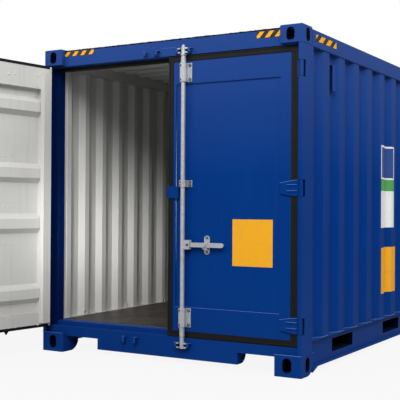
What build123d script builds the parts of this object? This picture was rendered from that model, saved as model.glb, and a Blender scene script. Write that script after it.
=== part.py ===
from build123d import *
import os

# Shipping container, ten feet long, with a pair of doors in one end.
# Millimetres. X runs across the width, Y from the door end to the closed end, Z up.
# The origin is on the ground under the middle of the container.

os.makedirs("parts", exist_ok=True)

# Overall size
length = 2991.0
width = 2438.0
height = 2591.0
half_l = length / 2
half_w = width / 2

# Corner castings: width, length, height, wall and the thicker walls at the outer
# side and the back, then the end and side holes: width, height, place in from the
# corner and from the top or base
top_casting = {"w": 186.0, "l": 182.0, "h": 134.0, "wall": 26.0, "side_wall": 56.0, "back_wall": 26.0}
top_casting_hole = {"w": 66.0, "h": 100.0, "from_corner": 98.0, "from_face": 70.0}
low_casting = {"w": 220.0, "l": 222.0, "h": 160.0, "wall": 30.0, "side_wall": 66.0, "back_wall": 48.0}
low_casting_hole = {"w": 74.0, "h": 112.0, "from_corner": 115.0, "from_face": 84.0}
lock_hole_w = 63.5
lock_hole_l = 124.0
casting_edge = 8.0
casting_rim = 5.0
casting_heel_r = 110.0
oval_sides = 12

# Corner posts
post_setback = 2.5
post_length = 196.0
post_flange = 35.0
post_edge = 4.0
post_inner_face = 1150.0
post_web = 50.0
rear_post_leg = 160.0

# Door frame: header above, sill below
face_recess = 52.0
frame_back = 195.5
seal_depth = 121.5
header_drop = 7.0
header_h = 137.0
header_lip_h = 23.0
frame_edge = 3.0
sill_bottom = 44.0
sill_deep_h = 168.0
sill_h = 78.0
sill_lip_h = 38.0
sill_deep_half = 665.0
sill_heel_r = 80.0

# Side rails, rear frame
top_rail_w = 60.0
top_rail_drop = 13.0
top_rail_h = 131.0
top_rail_edge = 5.0
low_rail_bottom = 46.0
low_rail_h = 208.0
low_rail_web = 7.0
low_rail_reach = 30.0
low_rail_lip = 3.0
rail_flange = 9.0
rail_foot_low = 12.0
rail_foot_l = 95.0
rail_foot_t = 30.0
rear_frame_t = 60.0

# Fork pockets and floor
pocket_w = 450.0
pocket_h = 105.0
pocket_floor = 105.0
pocket_wall = 6.0
pocket_spacing = 1210.0
floor_over_lip = 6.0
floor_t = 28.0
board_gap = 3.0
member_h = 122.0
member_w = 45.0
member_t = 4.5
member_from_end = 315.0
member_from_pocket = 60.0

# Corrugated walls and roof
wall_setback = 8.0
wall_depth = 38.0
wall_t = 4.0
wall_slope = 55.0
wall_land = 6.0
right_wall_pitch = 324.0
right_wall_crest = 115.0
left_wall_pitch = 259.0
left_wall_crest = 90.0
rear_wall_pitch = 302.0
rear_wall_crest = 100.0
roof_t = 3.0
roof_depth = 20.0
roof_pitch = 228.0
roof_slope = 34.0
roof_drop = 35.0

# Doors, measured from the container's middle outwards to the hinge side
meeting_line = 28.5
leaf_gap = 10.0
hinge_x = 1206.0
hinge_y_depth = 14.5
hinge_gap = 6.0
door_angle = 97.0
seal_proud = 7.0
seal_flap = 46.0
seal_flap_t = 8.0
seal_back = 12.0
frame_front = 6.0
leaf_t = 58.0
leaf_play = 5.0
free_stile = 24.0
hinge_stile = 114.0
band_over_foot = 235.0
band_under_head = 224.0
inner_over_foot = 132.0
inner_under_head = 206.0
inner_stile = 102.0
panel_recess = 10.0
panel_t = 4.0
rib_base = 165.0
rib_top = 80.0
rib_depth = 38.0
rib_t = 4.0
ribs_over_foot = (290.0, 881.0)
ribs_under_head = (921.0, 360.0)
stop_tab_under_head = 1035.0
stop_tab_h = 93.0
stop_tab_w = 102.5
stop_tab_t = 16.0

# Hinges
low_hinge_over_foot = 157.0
hinges_under_head = (1055.0, 177.0)
blade_lengths = (184.0, 184.0, 46.0)
hinge_h = 118.0
blade_tip_h = 76.0
blade_taper = 110.0
notch_play = 3.0
notch_depth = 56.0
pin_r = 8.0
pin_play = 0.5
knuckle_r = 13.0
knuckle_sides = 12
blade_t = 12.0
ridge_h = 9.0
ridge_t = 5.0
ridge_spacing = 44.0
blade_pad = 10.0
blade_over_pin = 9.0
blade_round_pin = 4.0

# Lock rods
rod_r = 18.0
rod_play = 0.5
rod_offset = 156.0
rod_axis_depth = 25.5
rod_past_low_cam = 24.0
rod_past_high_cam = 30.0
knob_r = 13.0
knob_h = 14.0
collar_r = 22.0
collar_h = 16.0
collar_play = 1.0
strap_half = 28.0
strap_t = 5.0
strap_corner = 11.0
flange_reach = 66.0
flange_groove = 8.0
flange_groove_depth = 2.0
bracket_plate = 7.0
end_bracket_h = 148.0
mid_bracket_h = 54.0
low_bracket_over_foot = 155.0
brackets_under_head = (1014.0, 136.0)

# Cams and keepers
cam_reach = 40.0
cam_root_w = 32.0
cam_tip_w = 18.0
cam_plate = 10.0
cam_spacing = 32.0
jaw_h = 38.0
jaw_w = 16.0
jaw_gap = 47.0
jaw_reach = 40.0
jaw_edge = 8.0
tooth_from_rod = 25.0
tooth_root = 4.0
hood_t = 5.0
hood_out = 8.0
hood_reach = 32.0
low_cam_under_sill = 58.0
high_cam_over_header = 32.0
spare_keeper_from_rod = 194.0
spare_keeper_h = 53.0
strip_from_rod = 76.0
strip_over_header = 2.0
strip_h = 66.0
strip_t = 8.0

# Handles
hub_over_foot = 731.0
hub_h = 72.0
fork_reach = 72.0
fork_t = 34.0
fork_slot = 17.0
fork_clear = 2.0
handle_t = 13.0
handle_h = 36.0
handle_pin_out = 52.0
handle_length = 300.0
handle_pin_r = 7.0
catch_out = 205.0
catch_w = 50.0
catch_h = 146.0
catch_t = 6.0
catch_clear = 6.0
catch_lip_t = 12.0
catch_lip_w = 38.0
hasp_l = 64.0
hasp_w = 17.0
hasp_t = 5.0
hasp_tilt = 40.0
weld_gap = 0.2

# Vent covers and lashing rings
vent_h = 255.0
vent_hood_h = 205.0
vent_hood_share = 0.62
vent_out = 35.0
vent_wall = 3.0
vent_under_rail = 182.0
vent_wave = 1
ring_r = 24.0
ring_bar = 5.0
ring_bends = 5
ring_from_wall = 4.0
ring_from_end = 515.5
ring_from_middle = 330.0

# Places worked out from the sizes above
front = -half_l
rear = half_l
face_y = front + face_recess
seal_y = front + seal_depth
frame_back_y = front + frame_back
post_end = front + post_setback + post_length
rabbet_x = half_w - post_flange
header_top = height - header_drop
header_bottom = header_top - header_h
header_lip = header_bottom - header_lip_h
sill_top = sill_bottom + sill_deep_h
sill_raise = sill_top - sill_h
sill_lip = sill_top + sill_lip_h
top_rail_top = height - top_rail_drop
top_rail_bottom = top_rail_top - top_rail_h
low_rail_top = low_rail_bottom + low_rail_h
floor_top = sill_lip + floor_over_lip
roof_top = height - roof_drop
leaf_low = sill_top + leaf_play
leaf_high = header_bottom - leaf_play
band_low = leaf_low + band_over_foot
band_high = leaf_high - band_under_head
inner_low = leaf_low + inner_over_foot
inner_high = leaf_high - inner_under_head
rib_heights = [leaf_low + up for up in ribs_over_foot] + [leaf_high - down for down in ribs_under_head]
hinge_heights = [leaf_low + low_hinge_over_foot] + [leaf_high - down for down in hinges_under_head]
bracket_heights = [leaf_low + low_bracket_over_foot] + [leaf_high - down for down in brackets_under_head]
low_cam_z = sill_top - low_cam_under_sill
high_cam_z = header_bottom + high_cam_over_header
rod_low = low_cam_z - rod_past_low_cam
rod_high = high_cam_z + rod_past_high_cam
hub_z = leaf_low + hub_over_foot
leaf_y = face_y + frame_front
boss_y = leaf_y - frame_front
seal_front_y = leaf_y - seal_flap_t
leaf_back_y = leaf_y + leaf_t
panel_y = boss_y + panel_recess
pin_y = front + hinge_y_depth
rod_y = front + rod_axis_depth
leaf_hinge_edge = rabbet_x - hinge_gap
top_casting_bottom = height - top_casting["h"]
rear_y_range = (rear - post_setback - rear_frame_t, rear - post_setback)
rear_half = half_w - rear_post_leg
web_x = half_w - low_rail_lip - low_rail_reach
floor_bottom = floor_top - floor_t
wall_end = -post_end
right_wall_waves = round(2 * wall_end / right_wall_pitch)
left_wall_waves = round(2 * wall_end / left_wall_pitch)
rear_wall_waves = round(2 * rear_half / rear_wall_pitch)
roof_l = rear_y_range[0] - frame_back_y
roof_waves = round(roof_l / roof_pitch)
pocket_reach = pocket_w / 2 + pocket_wall
rod_places = {"left": meeting_line - rod_offset, "right": meeting_line + rod_offset}


def write(piece, name):
    """Label a finished piece and write it to its own STEP file."""
    piece.label = name
    export_step(piece, f"parts/{name}.step")


def slab(x_range, y_range, z_range, mode=Mode.ADD):
    """A plain block between two places on each axis, in the part being made."""
    ranges = (x_range, y_range, z_range)
    with Locations(tuple(sum(pair) / 2 for pair in ranges)):
        Box(*[abs(pair[1] - pair[0]) for pair in ranges], mode=mode)


def cut_castings(size, z_range):
    """Take the room of the four castings of one level out of the part being made."""
    for sx in (-1, 1):
        for sy in (-1, 1):
            slab(
                (sx * (half_w - size["w"]), sx * half_w),
                (sy * (half_l - size["l"]), sy * half_l),
                z_range,
                mode=Mode.SUBTRACT,
            )


top_casting_z = (top_casting_bottom, height)
low_casting_z = (0.0, low_casting["h"])


def oval(long, wide, turned=0):
    """Sketch an oval whose round ends are many-sided, along X unless it is turned."""
    ends = [(-(long - wide) / 2, 0), ((long - wide) / 2, 0)]
    with Locations(Rot(0, 0, turned)):
        Rectangle(long - wide, wide)
        with Locations(ends):
            RegularPolygon(wide / 2, oval_sides, major_radius=False, rotation=180 / oval_sides)


# Corner castings: hollow blocks with an upright hole in the end and side faces
# and an oval hole in the top or bottom face
def corner_casting(sx, sy, size, hole, z_range, lock_face_z):
    middle_x = sx * (half_w - size["w"] / 2)
    middle_y = sy * (half_l - size["l"] / 2)
    middle_z = sum(z_range) / 2
    wall = size["wall"]
    inward = 1 if lock_face_z < middle_z else -1
    hole_x = sx * (half_w - hole["from_corner"])
    hole_y = sy * (half_l - hole["from_corner"])
    hole_z = lock_face_z + inward * hole["from_face"]
    end_face = Plane(origin=(hole_x, sy * half_l, hole_z), x_dir=(0, 0, 1), z_dir=(0, -sy, 0))
    side_face = Plane(origin=(sx * half_w, hole_y, hole_z), x_dir=(0, 0, 1), z_dir=(-sx, 0, 0))
    with BuildPart() as casting:
        with Locations((middle_x, middle_y, middle_z)):
            Box(size["w"], size["l"], size["h"])
        chamfer(casting.edges().filter_by(Axis.Z), casting_edge)
        if lock_face_z < middle_z:
            along_x = casting.faces().sort_by(Axis.Z)[0].edges().filter_by(Axis.X).sort_by(Axis.Y)
            fillet(along_x[0] if sy > 0 else along_x[-1], casting_heel_r)
        else:
            chamfer(casting.faces().sort_by(Axis.Z)[-1].edges(), casting_rim)
        slab((sx * (half_w - size["side_wall"]), sx * (half_w - size["w"] + wall)),
             (sy * (half_l - wall), sy * (half_l - size["l"] + size["back_wall"])),
             (z_range[0] + wall, z_range[1] - wall), mode=Mode.SUBTRACT)
        for face, depth in ((end_face, wall), (side_face, size["side_wall"])):
            with BuildSketch(face):
                oval(hole["h"], hole["w"])
            extrude(amount=depth, mode=Mode.SUBTRACT)
        with BuildSketch(Plane.XY.offset(lock_face_z)):
            with Locations((middle_x, middle_y)):
                oval(lock_hole_l, lock_hole_w, turned=90)
        extrude(amount=inward * wall, mode=Mode.SUBTRACT)
    return casting.part


for end, sy in (("door", -1), ("rear", 1)):
    for side, sx in (("left", -1), ("right", 1)):
        top = corner_casting(sx, sy, top_casting, top_casting_hole, top_casting_z, height)
        write(top, f"top_casting_{end}_{side}")
        low = corner_casting(sx, sy, low_casting, low_casting_hole, low_casting_z, 0.0)
        write(low, f"bottom_casting_{end}_{side}")


# Door-end posts: an outer flange with a notch for each hinge, and an inner
# channel whose front face the door seal closes on
def door_post(sx):
    outline = [
        (rabbet_x, front + post_setback),
        (half_w, front + post_setback),
        (half_w, post_end),
        (post_inner_face, post_end),
        (post_inner_face, seal_y),
        (rabbet_x, seal_y),
    ]
    with BuildPart() as post:
        with BuildSketch(Plane.XY.offset(low_casting["h"])) as section:
            with BuildLine():
                Polyline([(sx * x, y) for x, y in outline], close=True)
            make_face()
            front_corners = section.vertices().group_by(Axis.Y)[0]
            chamfer(front_corners, post_edge)
        extrude(amount=top_casting_bottom - low_casting["h"])
        for z in hinge_heights:
            with Locations((sx * half_w, front + notch_depth / 2, z)):
                Box(2 * post_flange, notch_depth, hinge_h + 2 * notch_play, mode=Mode.SUBTRACT)
    return post.part


write(door_post(-1), "door_post_left")
write(door_post(1), "door_post_right")

# Rear posts: one leg along the side and one across the end
with BuildPart() as rear_posts:
    for sx in (-1, 1):
        outline = [
            (half_w, rear_y_range[1]),
            (half_w, rear_y_range[1] - post_length),
            (half_w - post_web, rear_y_range[1] - post_length),
            (half_w - post_web, rear_y_range[0]),
            (rear_half, rear_y_range[0]),
            (rear_half, rear_y_range[1]),
        ]
        with BuildSketch(Plane.XY.offset(low_casting["h"])) as section:
            with BuildLine():
                Polyline([(sx * x, y) for x, y in outline], close=True)
            make_face()
            outer_corner = section.vertices().sort_by(Axis.Y).group_by(Axis.Y)[-1].sort_by(Axis.X)
            chamfer(outer_corner[-1] if sx > 0 else outer_corner[0], post_edge)
        extrude(amount=top_casting_bottom - low_casting["h"])
write(rear_posts.part, "rear_posts")

# Header over the doors, with the lip behind that the seal closes on
with BuildPart() as door_header:
    with BuildSketch(Plane.YZ) as section:
        with BuildLine():
            Polyline(
                (face_y, header_bottom),
                (face_y, header_top),
                (frame_back_y, header_top),
                (frame_back_y, header_lip),
                (seal_y, header_lip),
                (seal_y, header_bottom),
                close=True,
            )
        make_face()
        chamfer(section.vertices().group_by(Axis.X)[0], frame_edge)
    extrude(amount=rabbet_x, both=True)
    for sx in (-1, 1):
        slab((sx * post_inner_face, sx * half_w), (seal_y, frame_back_y),
             (header_lip, top_casting_bottom), mode=Mode.SUBTRACT)
        slab((sx * (half_w - top_rail_w), sx * half_w), (top_casting["l"] - half_l, frame_back_y),
             (top_casting_bottom, header_top), mode=Mode.SUBTRACT)
    cut_castings(top_casting, top_casting_z)
write(door_header.part, "door_header")

# Sill under the doors: a ledge from post to post, deep in its middle third
# with a rounded heel behind, and the lip that the seal closes on
with BuildPart() as door_sill:
    with BuildSketch(Plane.YZ) as section:
        with BuildLine():
            Polyline(
                (face_y, sill_bottom),
                (face_y, sill_top),
                (frame_back_y, sill_top),
                (frame_back_y, sill_bottom),
                close=True,
            )
        make_face()
        heel = section.vertices().group_by(Axis.X)[-1].sort_by(Axis.Y)[0]
        fillet(heel, sill_heel_r)
    extrude(amount=sill_deep_half, both=True)
    with BuildSketch(Plane.YZ) as section:
        with BuildLine():
            Polyline(
                (face_y, sill_raise),
                (face_y, sill_top),
                (seal_y, sill_top),
                (seal_y, sill_lip),
                (frame_back_y, sill_lip),
                (frame_back_y, sill_raise),
                close=True,
            )
        make_face()
    extrude(amount=rabbet_x, both=True)
    for sx in (-1, 1):
        slab((sx * post_inner_face, sx * half_w), (seal_y, frame_back_y),
             (low_casting["h"], sill_lip), mode=Mode.SUBTRACT)
    cut_castings(low_casting, low_casting_z)
write(door_sill.part, "door_sill")

# Rear header and rear sill close the other end
with BuildPart() as rear_header:
    header_half = half_w - top_casting["w"]
    slab((-header_half, header_half), rear_y_range, (top_casting_bottom, header_top))
write(rear_header.part, "rear_header")

with BuildPart() as rear_sill:
    slab((-rear_half, rear_half), rear_y_range, (sill_bottom, low_rail_top))
    cut_castings(low_casting, low_casting_z)
write(rear_sill.part, "rear_sill")

# Top side rails run between the top castings
with BuildPart() as top_side_rails:
    for sx in (-1, 1):
        with BuildSketch(Plane.XZ) as section:
            with Locations((sx * (half_w - top_rail_w / 2), (top_rail_bottom + top_rail_top) / 2)):
                Rectangle(top_rail_w, top_rail_h)
            chamfer(section.vertices(), top_rail_edge)
        extrude(amount=half_l - top_casting["l"], both=True)
    for sy in (-1, 1):
        slab((-half_w, half_w), (sy * wall_end, sy * half_l), (top_rail_bottom, top_casting_bottom),
             mode=Mode.SUBTRACT)
write(top_side_rails.part, "top_side_rails")

# Bottom side rails: channels open to the outside, cut through for the fork
# pockets, with a sloping foot against each bottom casting
with BuildPart() as bottom_side_rails:
    outer_x = half_w - low_rail_lip
    for sx in (-1, 1):
        outline = [
            (post_inner_face, low_rail_top),
            (outer_x, low_rail_top),
            (outer_x, low_rail_top - rail_flange),
            (web_x, low_rail_top - rail_flange),
            (web_x, low_rail_bottom + rail_flange),
            (outer_x, low_rail_bottom + rail_flange),
            (outer_x, low_rail_bottom),
            (web_x - low_rail_web, low_rail_bottom),
            (web_x - low_rail_web, low_rail_top - rail_flange),
            (post_inner_face, low_rail_top - rail_flange),
        ]
        with BuildSketch(Plane.XZ):
            with BuildLine():
                Polyline([(sx * x, z) for x, z in outline], close=True)
            make_face()
        extrude(amount=wall_end, both=True)
        with BuildSketch(Plane.YZ.offset(sx * outer_x)):
            for sy in (-1, 1):
                foot_y = half_l - low_casting["l"]
                with BuildLine():
                    Polyline(
                        (sy * foot_y, rail_foot_low),
                        (sy * foot_y, low_rail_bottom),
                        (sy * (foot_y - rail_foot_l), low_rail_bottom),
                        close=True,
                    )
                make_face()
        extrude(amount=-sx * rail_foot_t)
    for pocket_y in (-pocket_spacing / 2, pocket_spacing / 2):
        slab((-half_w, half_w), (pocket_y - pocket_reach, pocket_y + pocket_reach),
             (pocket_floor - pocket_wall, pocket_floor + pocket_h + pocket_wall), mode=Mode.SUBTRACT)
    cut_castings(low_casting, low_casting_z)
write(bottom_side_rails.part, "bottom_side_rails")


# Fork pockets: square tubes right across the base
def fork_pocket(pocket_y):
    with BuildPart() as pocket:
        with BuildSketch(Plane.YZ):
            with Locations((pocket_y, pocket_floor + pocket_h / 2)):
                Rectangle(pocket_w + 2 * pocket_wall, pocket_h + 2 * pocket_wall)
                Rectangle(pocket_w, pocket_h, mode=Mode.SUBTRACT)
        extrude(amount=web_x, both=True)
    return pocket.part


write(fork_pocket(-pocket_spacing / 2), "fork_pocket_door_end")
write(fork_pocket(pocket_spacing / 2), "fork_pocket_rear_end")

# Cross members: channels under the floor, at the ends, beside the pockets and
# in the middle
member_out = pocket_reach + member_from_pocket + member_w / 2
member_places = [0.0]
for sy in (-1, 1):
    member_places += [
        sy * (half_l - member_from_end),
        sy * (pocket_spacing / 2 + member_out),
        sy * (pocket_spacing / 2 - member_out),
    ]
with BuildPart() as floor_cross_members:
    for y in member_places:
        with BuildSketch(Plane.YZ):
            with Locations((y, floor_bottom - member_h / 2)):
                Rectangle(member_w, member_h)
                with Locations((member_t, 0)):
                    Rectangle(member_w, member_h - 2 * member_t, mode=Mode.SUBTRACT)
        extrude(amount=web_x - low_rail_web, both=True)
write(floor_cross_members.part, "floor_cross_members")

# Plywood floor in four boards
with BuildPart() as plywood_floor:
    floor_front = frame_back_y + board_gap
    floor_rear = rear_y_range[0] - wall_depth - wall_setback
    board_l = (floor_rear - floor_front - board_gap) / 2
    board_w = post_inner_face - 1.5 * board_gap
    with Locations((0, (floor_front + floor_rear) / 2, floor_top - floor_t / 2)):
        with GridLocations(board_w + board_gap, board_l + board_gap, 2, 2):
            Box(board_w, board_l, floor_t)
write(plywood_floor.part, "plywood_floor")


def wave_line(start, end, waves, crest, slope, high, depth):
    """Corners of the upper face of a corrugated sheet, from start to end.

    Each wave drops from the high face, runs along the low face, climbs again
    and ends on a crest.
    """
    low = high - depth
    pitch = (end - start - wall_land) / waves
    points = [(start, high)]
    for wave in range(waves):
        at = start + wall_land + wave * pitch
        points += [
            (at, high),
            (at + slope, low),
            (at + pitch - crest - slope, low),
            (at + pitch - crest, high),
        ]
    points.append((end, high))
    return points


def sheet_outline(points, thickness):
    """Close a sheet of even thickness under the line of its upper face."""
    return points + [(a, b - thickness) for a, b in reversed(points)]


# Side walls: upright corrugations between the posts
wall_high = half_w - wall_setback


def side_wall(sx, waves, crest):
    line = wave_line(-wall_end, wall_end, waves, crest, wall_slope, wall_high, wall_depth)
    with BuildPart() as wall:
        with BuildSketch(Plane.XY.offset(low_rail_top)):
            with BuildLine():
                Polyline([(sx * x, y) for y, x in sheet_outline(line, wall_t)], close=True)
            make_face()
        extrude(amount=top_rail_bottom - low_rail_top)
    return wall.part


write(side_wall(-1, left_wall_waves, left_wall_crest), "side_wall_left")
write(side_wall(1, right_wall_waves, right_wall_crest), "side_wall_right")

# Rear wall
with BuildPart() as rear_wall:
    line = wave_line(-rear_half, rear_half, rear_wall_waves, rear_wall_crest, wall_slope,
                     rear_y_range[1] - wall_setback, wall_depth)
    with BuildSketch(Plane.XY.offset(low_rail_top)):
        with BuildLine():
            Polyline(sheet_outline(line, wall_t), close=True)
        make_face()
    extrude(amount=top_casting_bottom - low_rail_top)
write(rear_wall.part, "rear_wall")

# Roof: corrugations across the container, between the rails and headers
with BuildPart() as roof_panel:
    roof_crest = roof_l / roof_waves / 2 - roof_slope
    line = wave_line(frame_back_y, rear_y_range[0], roof_waves, roof_crest,
                     roof_slope, roof_top, roof_depth)
    with BuildSketch(Plane.YZ):
        with BuildLine():
            Polyline(sheet_outline(line, roof_t), close=True)
        make_face()
    extrude(amount=half_w - top_rail_w, both=True)
    cut_castings(top_casting, top_casting_z)
write(roof_panel.part, "roof_panel")

# Hinge pins stand in the notches of the posts
with BuildPart() as hinge_pins:
    with Locations([(sx * hinge_x, pin_y, z) for sx in (-1, 1) for z in hinge_heights]):
        Cylinder(pin_r, hinge_h + 2 * notch_play)
write(hinge_pins.part, "hinge_pins")


def cam_plates(x, z, outline):
    """A pair of plates of one outline beside the rod at x, just under and over height z."""
    with BuildPart() as plates:
        for plate_z in (z - cam_spacing / 2, z + cam_spacing / 2):
            with BuildSketch(Plane((x, rod_y, plate_z))):
                with BuildLine():
                    Polyline(*outline, close=True)
                make_face()
            extrude(amount=cam_plate / 2, both=True)
    return plates.part


# Keepers: pairs of jaws under small hoods, open to the front so that the cam can
# leave with the door. The cam's arms turn outwards with the handle. On the other
# side they would turn into the frame, so there the jaw has teeth of the same form.
def keeper(x, z, ear_h):
    """Two ears, one on each side of the rod at x, at height z."""
    with BuildPart() as piece:
        for side in (-1, 1):
            with BuildSketch(Plane.YZ.offset(x + side * (jaw_gap + jaw_w / 2))) as jaw:
                with Locations((face_y - jaw_reach / 2, z - hood_t / 2)):
                    Rectangle(jaw_reach, ear_h - hood_t)
                chamfer(jaw.vertices().group_by(Axis.X)[0], jaw_edge)
            extrude(amount=jaw_w / 2, both=True)
            slab((x + side * jaw_gap, x + side * (jaw_gap + jaw_w + hood_out)),
                 (face_y - hood_reach, face_y), (z + ear_h / 2 - hood_t, z + ear_h / 2))
    return piece.part


def teeth(x, z, side):
    """Teeth on the jaw at one side of the rod: the same plates as a cam's arms, facing them."""
    return cam_plates(x, z, (
        (side * tooth_from_rod, -cam_root_w / 2),
        (side * (jaw_gap + tooth_root), -cam_tip_w / 2),
        (side * (jaw_gap + tooth_root), cam_tip_w / 2),
        (side * tooth_from_rod, cam_root_w / 2),
    ))


rod_sides = {"left": -1, "right": 1}
header_ears = [keeper(x, high_cam_z, jaw_h) for x in rod_places.values()]
header_ears += [teeth(x, high_cam_z, -rod_sides[name]) for name, x in rod_places.items()]
with BuildPart() as header_keepers:
    for piece in header_ears:
        add(piece)
    strip_x = (rod_places["left"] + strip_from_rod, rod_places["right"] - strip_from_rod)
    strip_low = header_bottom + strip_over_header
    slab(strip_x, (face_y - strip_t, face_y), (strip_low, strip_low + strip_h))
write(header_keepers.part, "header_keepers")

# The sill has a keeper under the right rod and a taller spare one to the left
spare_keeper_x = rod_places["left"] - spare_keeper_from_rod
sill_ears = [
    keeper(rod_places["right"], low_cam_z, jaw_h),
    teeth(rod_places["right"], low_cam_z, -rod_sides["right"]),
    keeper(spare_keeper_x, low_cam_z, spare_keeper_h),
]
with BuildPart() as sill_keepers:
    for piece in sill_ears:
        add(piece)
write(sill_keepers.part, "sill_keepers")

# Vent covers in the second hollow of each side wall: a plate with a hood
# that is open towards the door end
vent_z = top_rail_bottom - vent_under_rail
with BuildPart() as side_vents:
    for sx, waves, crest in (
        (-1, left_wall_waves, left_wall_crest),
        (1, right_wall_waves, right_wall_crest),
    ):
        base_x = wall_high - wall_depth
        pitch = (2 * wall_end - wall_land) / waves
        hollow_start = wall_land - wall_end + vent_wave * pitch + wall_slope
        hollow = pitch - crest - 2 * wall_slope
        middle = hollow_start + hollow / 2
        hood_w = hollow * vent_hood_share
        slab((sx * base_x, sx * (base_x + vent_wall)), (hollow_start, hollow_start + hollow),
             (vent_z - vent_h / 2, vent_z + vent_h / 2))
        hood_y = (middle - hood_w / 2, middle + hood_w / 2)
        hood_z = (vent_z - vent_hood_h / 2, vent_z + vent_hood_h / 2)
        slab((sx * base_x, sx * (base_x + vent_out)), hood_y, hood_z)
        slab((sx * (base_x + vent_wall), sx * (base_x + vent_out - vent_wall)),
             (hood_y[0], hood_y[1] - vent_wall),
             (hood_z[0] + vent_wall, hood_z[1] - vent_wall), mode=Mode.SUBTRACT)
write(side_vents.part, "side_vents")

# Lashing rings stand on the inner flange of each bottom rail
ring_x = post_inner_face + ring_bar + ring_from_wall
ring_places = [sy * y for sy in (-1, 1) for y in (half_l - ring_from_end, ring_from_middle)]


def lashing_ring(x, y):
    """A bent bar whose two legs stand on the rail."""
    foot = low_rail_top
    bend = [Vector(0, -ring_r, 0).rotate(Axis.X, -180 * i / ring_bends) for i in range(ring_bends + 1)]
    path = [(x, y - ring_r, foot)]
    path += [(x, y + point.Y, foot + ring_r + point.Z) for point in bend]
    path.append((x, y + ring_r, foot))
    with BuildPart() as ring:
        with BuildLine() as bent_bar:
            Polyline(path)
        with BuildSketch(Plane.XY.offset(foot)):
            with Locations((x, y - ring_r)):
                RegularPolygon(ring_bar, 6)
        sweep(path=bent_bar.wires()[0], transition=Transition.RIGHT)
    return ring.part


rings = [lashing_ring(sx * ring_x, y) for sx in (-1, 1) for y in ring_places]
with BuildPart() as lashing_rings:
    for ring in rings:
        add(ring)
write(lashing_rings.part, "lashing_rings")


# Doors. Each is built closed. u runs from the container's middle to the hinge
# side, so that one set of sizes serves both leaves, and side turns u into x.
def hang(piece, side):
    """Place a closed door piece: the left door stands open."""
    if side > 0:
        return piece
    swing = Pos(-hinge_x, pin_y, 0) * Rot(0, 0, -door_angle) * Pos(hinge_x, -pin_y, 0)
    return swing * piece


def u_slab(side, u_range, y_range, z_range, mode=Mode.ADD):
    slab((side * u_range[0], side * u_range[1]), y_range, z_range, mode=mode)


def free_edge(side):
    return side * meeting_line + leaf_gap / 2


def door_frame(side):
    """Welded frame: a plain boss in front, a deep recess for the ribs behind."""
    free = free_edge(side)
    outer = (free + seal_proud, leaf_hinge_edge - seal_proud)
    boss = (free + seal_flap, leaf_hinge_edge - seal_flap)
    panel = (boss[0] + free_stile, boss[1] - hinge_stile)
    with BuildPart() as piece:
        u_slab(side, outer, (leaf_y, leaf_back_y), (leaf_low + seal_proud, leaf_high - seal_proud))
        u_slab(side, boss, (boss_y, leaf_y), (leaf_low + seal_flap, leaf_high - seal_flap))
        u_slab(side, panel, (boss_y, panel_y + panel_t), (band_low, band_high), mode=Mode.SUBTRACT)
        u_slab(side, (panel[0], outer[1] - inner_stile), (panel_y + panel_t, leaf_back_y),
               (inner_low, inner_high), mode=Mode.SUBTRACT)
        if side > 0:
            tab_y = boss_y - stop_tab_t
            tab_z = (leaf_high - stop_tab_under_head - stop_tab_h, leaf_high - stop_tab_under_head)
            u_slab(side, (boss[0], free + stop_tab_w), (tab_y, boss_y), tab_z)
            u_slab(side, (free, boss[0]), (tab_y, seal_front_y), tab_z)
    return piece.part


def door_panel(side):
    """Flat outer sheet with four hat-shaped ribs welded behind it."""
    free = free_edge(side)
    start = free + seal_flap + free_stile
    end = leaf_hinge_edge - seal_flap - hinge_stile
    rib_end = leaf_hinge_edge - seal_proud - inner_stile
    back = panel_y + panel_t
    rib_foot = rib_t * 1.5
    rib_bend = rib_t / 2
    with BuildPart() as piece:
        u_slab(side, (start, end), (panel_y, back), (band_low, band_high))
        for z in rib_heights:
            with BuildSketch(Plane.YZ.offset(side * start)):
                with BuildLine():
                    Polyline(
                        (back, z - rib_base / 2),
                        (back + rib_depth, z - rib_top / 2),
                        (back + rib_depth, z + rib_top / 2),
                        (back, z + rib_base / 2),
                        (back, z + rib_base / 2 - rib_foot),
                        (back + rib_depth - rib_t, z + rib_top / 2 - rib_bend),
                        (back + rib_depth - rib_t, z - rib_top / 2 + rib_bend),
                        (back, z - rib_base / 2 + rib_foot),
                        close=True,
                    )
                make_face()
            extrude(amount=side * (rib_end - start))
    return piece.part


def door_seal(side):
    """Rubber seal: a flap over the edge of the leaf and a strip round its side."""
    u_range = (free_edge(side), leaf_hinge_edge)
    z_range = (leaf_low, leaf_high)
    with BuildPart() as piece:
        u_slab(side, u_range, (seal_front_y, leaf_back_y - seal_back), z_range)
        for inset, y_range in ((seal_proud, (leaf_y, leaf_back_y)), (seal_flap, (front, leaf_y))):
            u_slab(side, (u_range[0] + inset, u_range[1] - inset), y_range,
                   (z_range[0] + inset, z_range[1] - inset), mode=Mode.SUBTRACT)
    return piece.part


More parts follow.
